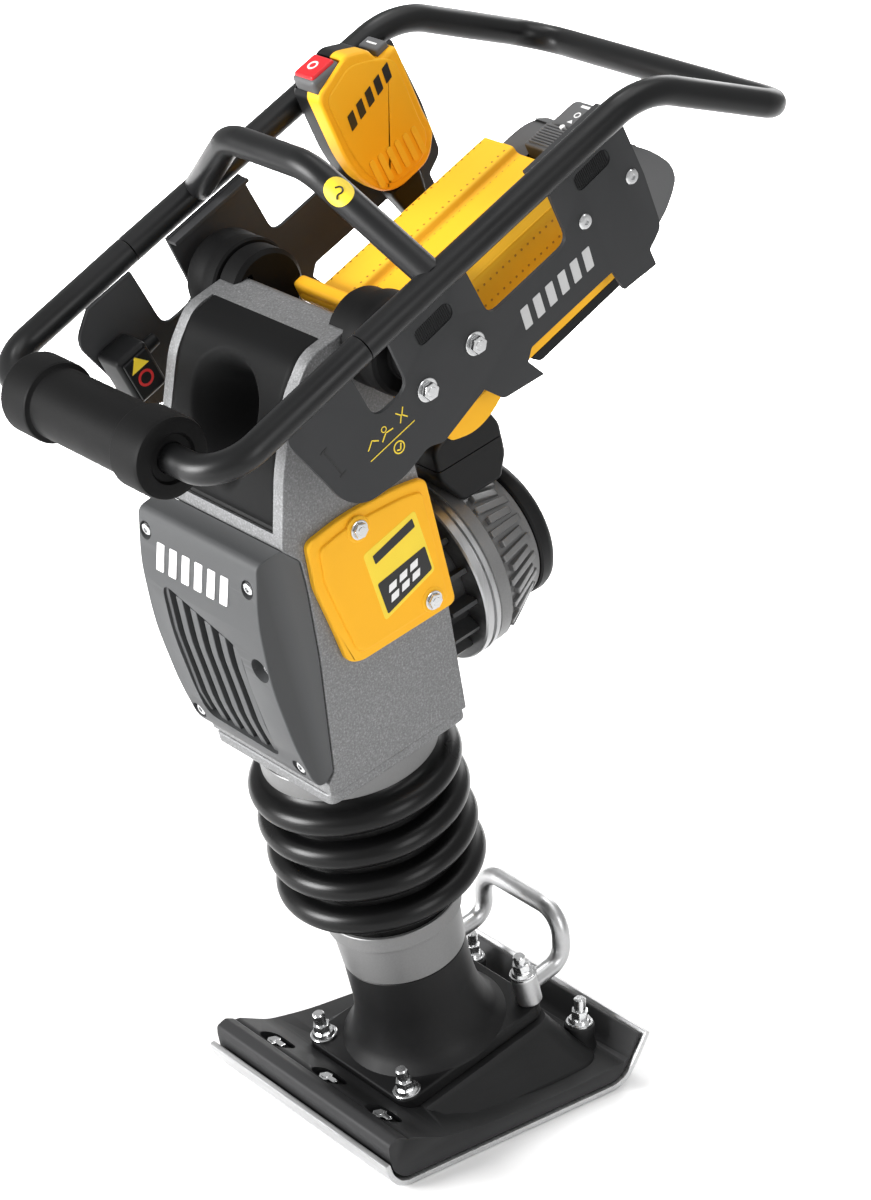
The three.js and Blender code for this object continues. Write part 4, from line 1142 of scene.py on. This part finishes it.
PLATE_OUTLINE = [
    (-182, -7, 0), (-208, -27, 14), (-195, -82, 0), (-188, -115, 12), (-171, -133, 12),
    (-129, -140, 10), (-97, -134, 6), (-82, -142, 4), (-26, -131, 0), (-13, -153, 4),
    (32, -164, 2), (23, -142, 2), (32, -133, 2), (135, -134, 3), (138, -158, 2),
    (178, -162, 2), (178, -145, 2), (198, -135, 8), (203, -80, 4), (203, -7, 0), (110, -7, 0),
    (108, -77, 12), (9, -77, 12), (7, -7, 0), (-85, -7, 0), (-87, -74, 14), (-128, -74, 14),
    (-130, -7, 0),
]
HEX_BOLTS = ((-74, -88), (-15, -87))
FLAT_SCREWS = ((130, -73), (190, -72))
GRILLES = ((-41, -43), (157, -38))


def oval(s, n, length, width, span, slant):
    """A slot-shaped slab across X."""
    outline = rectangle((-length / 2, length / 2), (-width / 2, width / 2), width * 0.48)
    bm = prism(outline, "x", span, 7)
    turn(bm, Matrix.Rotation(slant, 4, "X"))
    return moved(bm, 0, s, n)


def stroke(points, width, span):
    """A thin raised line across X through (s, n) points."""
    bars = []
    for start, end in zip(points, points[1:]):
        a, b = Vector(start), Vector(end)
        side = Vector((a.y - b.y, b.x - a.x)).normalized() * width / 2
        corners = [a - side, b - side, b + side, a + side]
        bars.append(prism([tuple(c) for c in corners], "x", span))
    return joined(*bars)


def disc(s, n, radius, span, hole=0.0):
    return tube(hole, radius, span, "x", (0, s, n), 40)


def plate_marks():
    """Generic pictograms on the plate: a handling arrow, a hook point and a slanted-bar mark."""
    face = PLATE_OUTER_X
    span = (face - 0.1, face + 0.25)
    yellow = joined(
        stroke([(-158, -104), (-92, -104)], 1.1, span),
        disc(-122, -116, 7.5, span, 6.0),
        stroke([(-126, -117), (-122, -119.5), (-118, -113)], 1.6, span),
        stroke([(-155, -92), (-146, -85), (-139, -91)], 1.4, span),
        disc(-128, -85, 3.6, span, 2.6),
        stroke([(-136, -96), (-128, -90), (-118, -92)], 1.4, span),
        stroke([(-108, -94), (-103, -87), (-108, -80)], 1.3, span),
        stroke([(-97, -94), (-102, -87), (-97, -80)], 1.3, span),
    )
    white = [slanted_bar(34 + 15.5 * k, -115, (9, 20), (3, 0), "x", span) for k in range(6)]
    engraved = joined(
        stroke([(-182, -62), (-177, -92)], 1.8, span),
        stroke([(-186, -62), (-178, -61)], 1.8, span),
        stroke([(-181, -93), (-173, -92)], 1.8, span),
    )
    return yellow, joined(*white), engraved


PICTOGRAM_AT = (PLATE_OUTER_X, -116, -98)
PICTOGRAM_SCALE = 0.8


def make_side_plates():
    for side, name in SIDES:
        web = prism(PLATE_OUTLINE, "x", (PLATE_INNER_X, PLATE_OUTER_X), 5)
        soften(web, 0.9, 2, 60)
        recesses = [oval(s, n, 43, 17, (PLATE_OUTER_X - 1.4, PLATE_OUTER_X + 2), 0.03)
                    for s, n in GRILLES]
        web = combined(web, *recesses)
        front_flange = soften(box((138, PLATE_INNER_X + 0.6), (-85, 7), (-12, -8)), 1, 2)
        shells = [web, front_flange]
        if side > 0:
            shells.append(soften(box((128, PLATE_INNER_X + 0.6), (110, 203), (-12, -8)), 1, 2))
        ribs = []
        for s, n in GRILLES:
            for k in range(-9, 10):
                reach = math.sqrt(max(0.0, 8.0 ** 2 - max(0, abs(k * 2.05) - 13) ** 2))
                ribs.append(box((PLATE_OUTER_X - 1.5, PLATE_OUTER_X - 0.5),
                                (s + k * 2.05 - 0.6, s + k * 2.05 + 0.6), (n - reach, n + reach)))
        bolts = [hex_bolt(8.2, 5.5, 10.5, "x", (PLATE_OUTER_X, s, n), 1, 0.35)
                 for s, n in HEX_BOLTS]
        screws = [round_screw(7, 2.6, "x", (PLATE_OUTER_X, s, n), 1) for s, n in FLAT_SCREWS]
        yellow, white, engraved = plate_marks()
        shrink = Matrix.Translation(PICTOGRAM_AT) @ Matrix.Scale(PICTOGRAM_SCALE, 4)
        turn(yellow, shrink @ Matrix.Translation([-a for a in PICTOGRAM_AT]))
        handed(side, HANDLE, "handle", [
            (f"side_plate_{name}_steel", joined(*shells), "plate_paint", [f"side_plate_{name}"]),
            (f"plate_grille_{name}", joined(*ribs), "black_plastic", []),
            (f"plate_bolts_{name}", joined(*bolts), "steel", []),
            (f"plate_screws_{name}", joined(*screws), "steel", []),
            (f"plate_pictograms_{name}", yellow, "yellow_print", []),
            (f"plate_bars_{name}", white, "grey_print", []),
            (f"plate_engraving_{name}", engraved, "black_print_and_shade", []),
        ])


# ---------- battery cradle ----------

TRAY_HALF = 124
BATTERY_HALF = 59
BATTERY = [
    (40, -110, 6), (247, -110, 22), (262, -121, 14), (281, -144, 16), (295, -174, 14),
    (286, -190, 10), (266, -204, 8), (249, -210, 8), (150, -204, 6), (140, -150, 4),
    (40, -150, 4),
]


def make_cradle():
    inner_x = BATTERY_HALF + 1.4
    ceiling = BATTERY[0][1] + 1.4
    section = [
        (-62, -165, 0), (-inner_x, -165, 0), (-inner_x, ceiling, 3), (inner_x, ceiling, 3),
        (inner_x, -165, 0), (62, -165, 0), (62, -112, 6), (45, -93, 4), (42, -87, 3), (38, -86, 1),
        (4, -86, 3), (1, -84, 1), (-1, -78, 3), (-42, -78, 5), (-62, -107, 8),
    ]
    hood = soften(prism(section, "y", (-30, 186), 5), 0.6, 2, 60)
    piece("cradle_hood", hood, HANDLE, "handle", "yellow", ["cradle"], 30)
    front = soften(box((-60, 60), (-30, -26), (-165, -80)), 1.5, 2)
    piece("cradle_bulkhead", front, HANDLE, "handle", "yellow")
    cap = soften(box((-52, 52), (-44, -29.5), (-84, -61)), 5, 4)
    brow = soften(box((-44, 44), (-46.5, -38), (-78, -70)), 3.5, 3)
    foot = soften(box((-40, 40), (-43.5, -30), (-165, -80)), 3, 3)
    piece("cradle_cap", joined(cap, brow, foot), HANDLE, "handle", "yellow")
    tray = prism([(-58, -157, 1), (180, -157, 1), (180, -165, 1), (40, -165, 8), (8, -170, 12),
                  (-14, -180, 12), (-38, -182, 12), (-64, -170, 8)], "x",
                 (-TRAY_HALF, TRAY_HALF), 5)
    soften(tray, 1.2, 2, 60)
    bay = box((-inner_x, inner_x), (36, 200), (-190, -140))
    piece("cradle_tray", combined(tray, bay), HANDLE, "handle", "yellow")
    # Small darkened discs at the vent holes: painted shade in place of the shadow inside each hole.
    dots = []
    for k in range(26):
        s = -22 + 8 * k
        for x, n in ((4.5, -86), (37.5, -86), (-38, -78), (-5, -78)):
            dots.append(tube(0, 1.1, (n - 0.5, n + 0.25), centre=(x, s, 0), segments=10))
        if s > 10:
            for n in (-120, -138):
                dots.append(tube(0, 1.2, (61, 62.3), "x", (0, s, n), 10))
    piece("cradle_vent_shade_dots", joined(*dots), HANDLE, "handle", "vent_hole_shade")
    lip = [(42, -165.4, 1), (178, -165.4, 1), (170, -175, 3), (50, -175, 3)]
    floor = soften(prism(lip, "x", (BATTERY_HALF + 2, TRAY_HALF), 3), 1.2, 2, 50)
    piece("tray_floor_plate", floor, HANDLE, "handle", "black_plastic", ["tray_floor"])
    clips = [soften(box((44, 58), (-26 + 26 * k, -8 + 26 * k), (-96, -83)), 2.5, 2) for k in range(3)]
    piece("cradle_clips", joined(*clips), HANDLE, "handle", "black_plastic")


def make_battery():
    body = prism(BATTERY, "x", (-BATTERY_HALF, BATTERY_HALF), 6)
    soften(body, 7, 4, 55)
    room = box((-20.5, 20.5), (202, 240.5), (-116, -90))
    grip = prism([(240.5, -150, 0), (240.5, -100.5, 5), (276, -100.5, 8), (284, -112, 6),
                  (284, -150, 0)], "x", (-19, 19), 5)
    soften(grip, 3, 3, 60)
    shell = combined(combined(body, room), grip, operation="UNION")
    piece("battery_case", shell, HANDLE, "battery", "battery_plastic", ["battery_pack"], 30)
    marks = [
        soften(box((-6, 6), (269, 272), (-101, -100.1)), 0.3, 1),
        tube(2.4, 3.6, (-101, -100.1), centre=(0, 259, 0), segments=32),
        prism([(-3.4, 248), (3.4, 248), (0, 252)], "z", (-101, -100.1)),
    ]
    piece("battery_marks", joined(*marks), HANDLE, "battery", "white_print")
    seam = soften(prism([(150, -206), (248, -211.5), (266, -206), (288, -191), (288, -188),
                         (266, -201), (248, -207), (150, -201)], "x", (-50, 50)), 0.5, 1, 60)
    piece("battery_foot_rib", seam, HANDLE, "battery", "black_plastic")


def make_latch():
    base = soften(box((-18, 18), (206, 238), (-112.5, -95.5)), 2.5, 3)
    ribs = [soften(box((-14, 14), (210 + 3.4 * k, 211.8 + 3.4 * k), (-96, -93.4)), 0.7, 2)
            for k in range(8)]
    piece("latch_bar", joined(base, *ribs), HANDLE, "latch", "battery_plastic", ["battery_latch"])
    mark = tube(0, 2.6, (-95.6, -93.2), centre=(6, 236, 0), segments=24)
    piece("latch_mark", mark, HANDLE, "latch", "white_print")


# ---------- control box ----------

BOX_OUTLINE = [
    (89, 25, 8), (133, 39, 5), (143, 34, 3), (156, 27, 4), (161, 11, 3), (183, 12, 5),
    (179, -65, 8), (181, -83, 8), (163, -106, 12), (120, -107, 12), (103, -95, 8),
    (90, -70, 8), (86, -44, 14),
]
BOX_PANEL = [
    (95, 18, 8), (130, 30, 8), (152, 20, 8), (175, 4, 10), (171, -64, 7), (172, -80, 7),
    (158, -98, 10), (122, -99, 10), (108, -90, 8), (97, -68, 8), (93, -42, 14),
]


def make_control_box():
    stop_room = ((-146.4, -111.6), (92.6, 127.4), (16.4, 80))
    start_room = ((-142.4, -115.6), (164.6, 180.4), (-1.5, 80))
    rooms = (stop_room, start_room)
    face = stepped(BOX_OUTLINE, [(0, -126.8), (0, -112), (0.7, -110), (2, -108.6), (4, -108)])
    panel = stepped(BOX_PANEL, [(0, -109.5), (0.4, -107.6), (1.4, -106.9)])
    face = combined(face, *[box(*r) for r in rooms])
    piece("control_panel", panel, HANDLE, "handle", "yellow")
    piece("control_face", face, HANDLE, "handle", "yellow", ["control_box"], 30)
    ribs = []
    for k in range(6):
        s = 107 + 10.6 * k
        n = -76 - 0.5 * k
        outline = rectangle((s - 3, s + 3), (n - 15, n + 15), 2.8)
        ribs.append(prism(outline, "x", (-107.5, -105.6), 4))
    piece("control_ribs", joined(*ribs), HANDLE, "handle", "yellow")
    back = stepped(BOX_OUTLINE, [(4, -148.5), (1.2, -147.4), (0, -145), (0, -127)])
    back = combined(back, *[box(*r) for r in rooms])
    piece("control_rear", back, HANDLE, "handle", "black_plastic", ["control_back"], 30)
    bars = [slanted_bar(104 + 13 * k, -24 + 3.4 * k, (8, 15), (2, 2), "x", (-107, -106.3), 0.6)
            for k in range(5)]
    piece("control_mark", joined(*bars), HANDLE, "handle", "black_print_and_shade")
    neck = lofted([(-130, -113, 124, 144, -157, 4, 0), (-130, -113, 121, 147, -140, 4, 0),
                   (-132, -112, 114, 152, -112, 5, 0), (-132, -112, 114, 152, -107.5, 5, 0)])
    piece("control_neck", neck, HANDLE, "handle", "black_plastic", ["control_bracket"])


def make_buttons():
    bezel = soften(box((-146, -112), (93, 127), (20, 38)), 5, 4, 50,
                   lambda edge: all(v.co.z > 21 for v in edge.verts)
                   or abs(edge.verts[0].co.z - edge.verts[1].co.z) > 5)
    piece("stop_bezel", bezel, HANDLE, "stop", "battery_plastic", ["stop_button"])
    button = soften(box((-143, -115), (96, 124), (34, 41)), 3, 4)
    piece("stop_cap", button, HANDLE, "stop", "red")
    ring = tube(3.4, 5.4, (40.6, 41.3), centre=(-129, 110, 0), segments=32)
    piece("stop_mark", ring, HANDLE, "stop", "white_print")
    start = soften(box((-142, -116), (165, 180), (2, 18)), 2.5, 3)
    piece("start_cap", start, HANDLE, "start", "battery_plastic", ["start_button"])
    line = soften(box((-136, -122), (171.5, 173.5), (17.8, 18.3)), 0.2, 1)
    piece("start_mark", line, HANDLE, "start", "white_print")


# ---------- shock mounts, left-hand box, stickers ----------

MOUNT_AT = (0, -60, -62)


def make_shock_mounts():
    for side, name in SIDES:
        profile = [(0, 90.4), (40, 90.4), (42, 92.4), (42, 102), (40.4, 106), (40.4, 112), (42, 116),
                   (42, 128), (40.6, 131.4), (37, 133.8), (26, 134), (24, 136), (24, 148.6),
                   (0, 148.6)]
        mount = lathe(profile, "x", MOUNT_AT, 72)
        handed(side, HANDLE, "upper", [
            (f"shock_mount_{name}_rubber", mount, "roller_rubber", [f"shock_mount_{name}"]),
        ])


def make_relay_box():
    shell = soften(box((-147, -112), (-200, -165), (-95, -45)), 5, 3)
    lid = soften(box((-113, -109), (-196, -169), (-90, -50)), 1.5, 2)
    stub = lathe([(0, -165.5), (7, -165.5), (6, -150), (0, -150)], "y", (-128, 0, -62), 32)
    piece("relay_box", joined(shell, lid, stub), HANDLE, "handle", "black_plastic")
    triangle = prism([(-193, -62), (-173, -62), (-183, -49)], "x", (-109.2, -108.7))
    piece("relay_warning_plate", triangle, HANDLE, "handle", "yellow_print")
    ring = disc(-183, -73, 8, (-109.2, -108.7), 5.6)
    piece("relay_ban_ring", ring, HANDLE, "handle", "red_print")


def wrapped_disc(radius, tube_radius):
    """A round sticker bent over a tube that lies along x."""
    bm = bmesh.new()
    rings = [[(0, 0)]] + [circle(radius * k / 8, 40) for k in range(1, 9)]
    shells = []
    for offset in (0.15, 0.45):
        reach = tube_radius + offset
        shells.append([[
            bm.verts.new((a, reach * math.sin(b / tube_radius), reach * math.cos(b / tube_radius)))
            for a, b in ring] for ring in rings])
    for shell in shells:
        for low, high in zip(shell, shell[1:]):
            for i in range(40):
                j = (i + 1) % 40
                corners = [low[i % len(low)], low[j % len(low)], high[j], high[i]]
                bm.faces.new(list(dict.fromkeys(corners)))
    for i in range(40):
        j = (i + 1) % 40
        bm.faces.new((shells[0][-1][i], shells[0][-1][j], shells[1][-1][j], shells[1][-1][i]))
    bmesh.ops.recalc_face_normals(bm, faces=bm.faces)
    return bm


def make_stickers():
    """A round lifting-point sticker on the right leg of the lifting bar."""
    slope = math.atan2(85, 107)
    place = (84, BAR_S, 65.8)
    sticker = wrapped_disc(13, TUBE_RADIUS)
    hook = sweep([(-4, 0, 0, 0), (-1, 5, 0, 3), (4, 2, 0, 3), (1, -3, 0, 3), (4, -6, 0, 0)],
                 0.8, 10, 4)
    moved(hook, 0, 0, TUBE_RADIUS + 0.3)
    for title, mesh, finish in (("lifting_sticker", sticker, "yellow_print"),
                                ("lifting_hook_mark", hook, "black_print_and_shade")):
        turn(mesh, Matrix.Rotation(0.32, 4, "X"))
        turn(mesh, Matrix.Rotation(slope, 4, "Y"))
        moved(mesh, *place)
        piece(title, mesh, HANDLE, "handle", finish)


# ---------- stage ----------

CAMERA_PLACE = (2.08093, -1.67918, 1.68535)
CAMERA_RIGHT = (0.6301, 0.7765, 0.0)
CAMERA_UP = (-0.3129, 0.2539, 0.9152)
CAMERA_LENS = 95.343
SENSOR = 36.0
WORLD_STRENGTH = 0.5


def make_camera():
    data = bpy.data.cameras.new("camera")
    data.lens = CAMERA_LENS
    data.sensor_width = SENSOR
    data.sensor_fit = "AUTO"
    camera = bpy.data.objects.new("camera", data)
    right = Vector(CAMERA_RIGHT)
    up = Vector(CAMERA_UP)
    back = right.cross(up)
    turn_to = Matrix((right, up, back)).transposed().to_4x4()
    camera.matrix_world = Matrix.Translation(CAMERA_PLACE) @ turn_to
    bpy.context.scene.collection.objects.link(camera)
    bpy.context.scene.camera = camera


def area_light(name, place, target, size, watts, spread_deg=180):
    data = bpy.data.lights.new(name, "AREA")
    data.shape = "RECTANGLE"
    data.size = size[0]
    data.size_y = size[1]
    data.energy = watts
    data.spread = math.radians(spread_deg)
    light = bpy.data.objects.new(name, data)
    heading = Vector(target) - Vector(place)
    light.matrix_world = (
        Matrix.Translation(place) @ heading.to_track_quat("-Z", "Y").to_matrix().to_4x4()
    )
    bpy.context.scene.collection.objects.link(light)


def make_stage():
    floor = bpy.data.meshes.new("floor")
    reach = 14.0
    floor.from_pydata(
        [(-reach, -reach, -0.0005), (reach, -reach, -0.0005), (reach, reach, -0.0005),
         (-reach, reach, -0.0005)], [], [(0, 1, 2, 3)],
    )
    obj = bpy.data.objects.new("floor", floor)
    bpy.context.scene.collection.objects.link(obj)
    floor.materials.append(grained("pale floor", (0.9, 0.9, 0.9), 0.7, 0, 0.01, 300, 0.01))
    world = bpy.data.worlds.new("studio")
    world.use_nodes = True
    background = world.node_tree.nodes["Background"]
    background.inputs["Color"].default_value = (1, 1, 1, 1)
    background.inputs["Strength"].default_value = WORLD_STRENGTH
    bpy.context.scene.world = world
    bpy.context.scene.view_settings.view_transform = "Standard"
    middle = (0, 0, 0.55)
    area_light("key", (-1.0, -3.0, 1.2), middle, (1.4, 1.4), 185)
    area_light("right", (3.2, -0.2, 1.6), middle, (1.2, 2.0), 34)
    area_light("top", (0.4, 0.6, 3.4), middle, (1.8, 1.8), 24)
    area_light("rear", (-1.6, 2.8, 1.8), middle, (1.4, 1.8), 30)
    area_light("far floor", (-3.4, 2.9, 4.0), (-3.4, 2.9, 0), (5, 5), 420, spread_deg=60)


make_camera()
make_stage()
paint_cad_nodes()
make_wear_plate()
make_shoe()
make_leg()
make_foot_handle()
make_bellows()
make_springs()
make_crankcase()
make_mount_brackets()
make_insert()
make_front_cover()
make_side_covers()
make_motor()
make_electronics_box()
make_tubes()
make_roller()
make_side_plates()
make_cradle()
make_battery()
make_latch()
make_control_box()
make_buttons()
make_shock_mounts()
make_relay_box()
make_stickers()
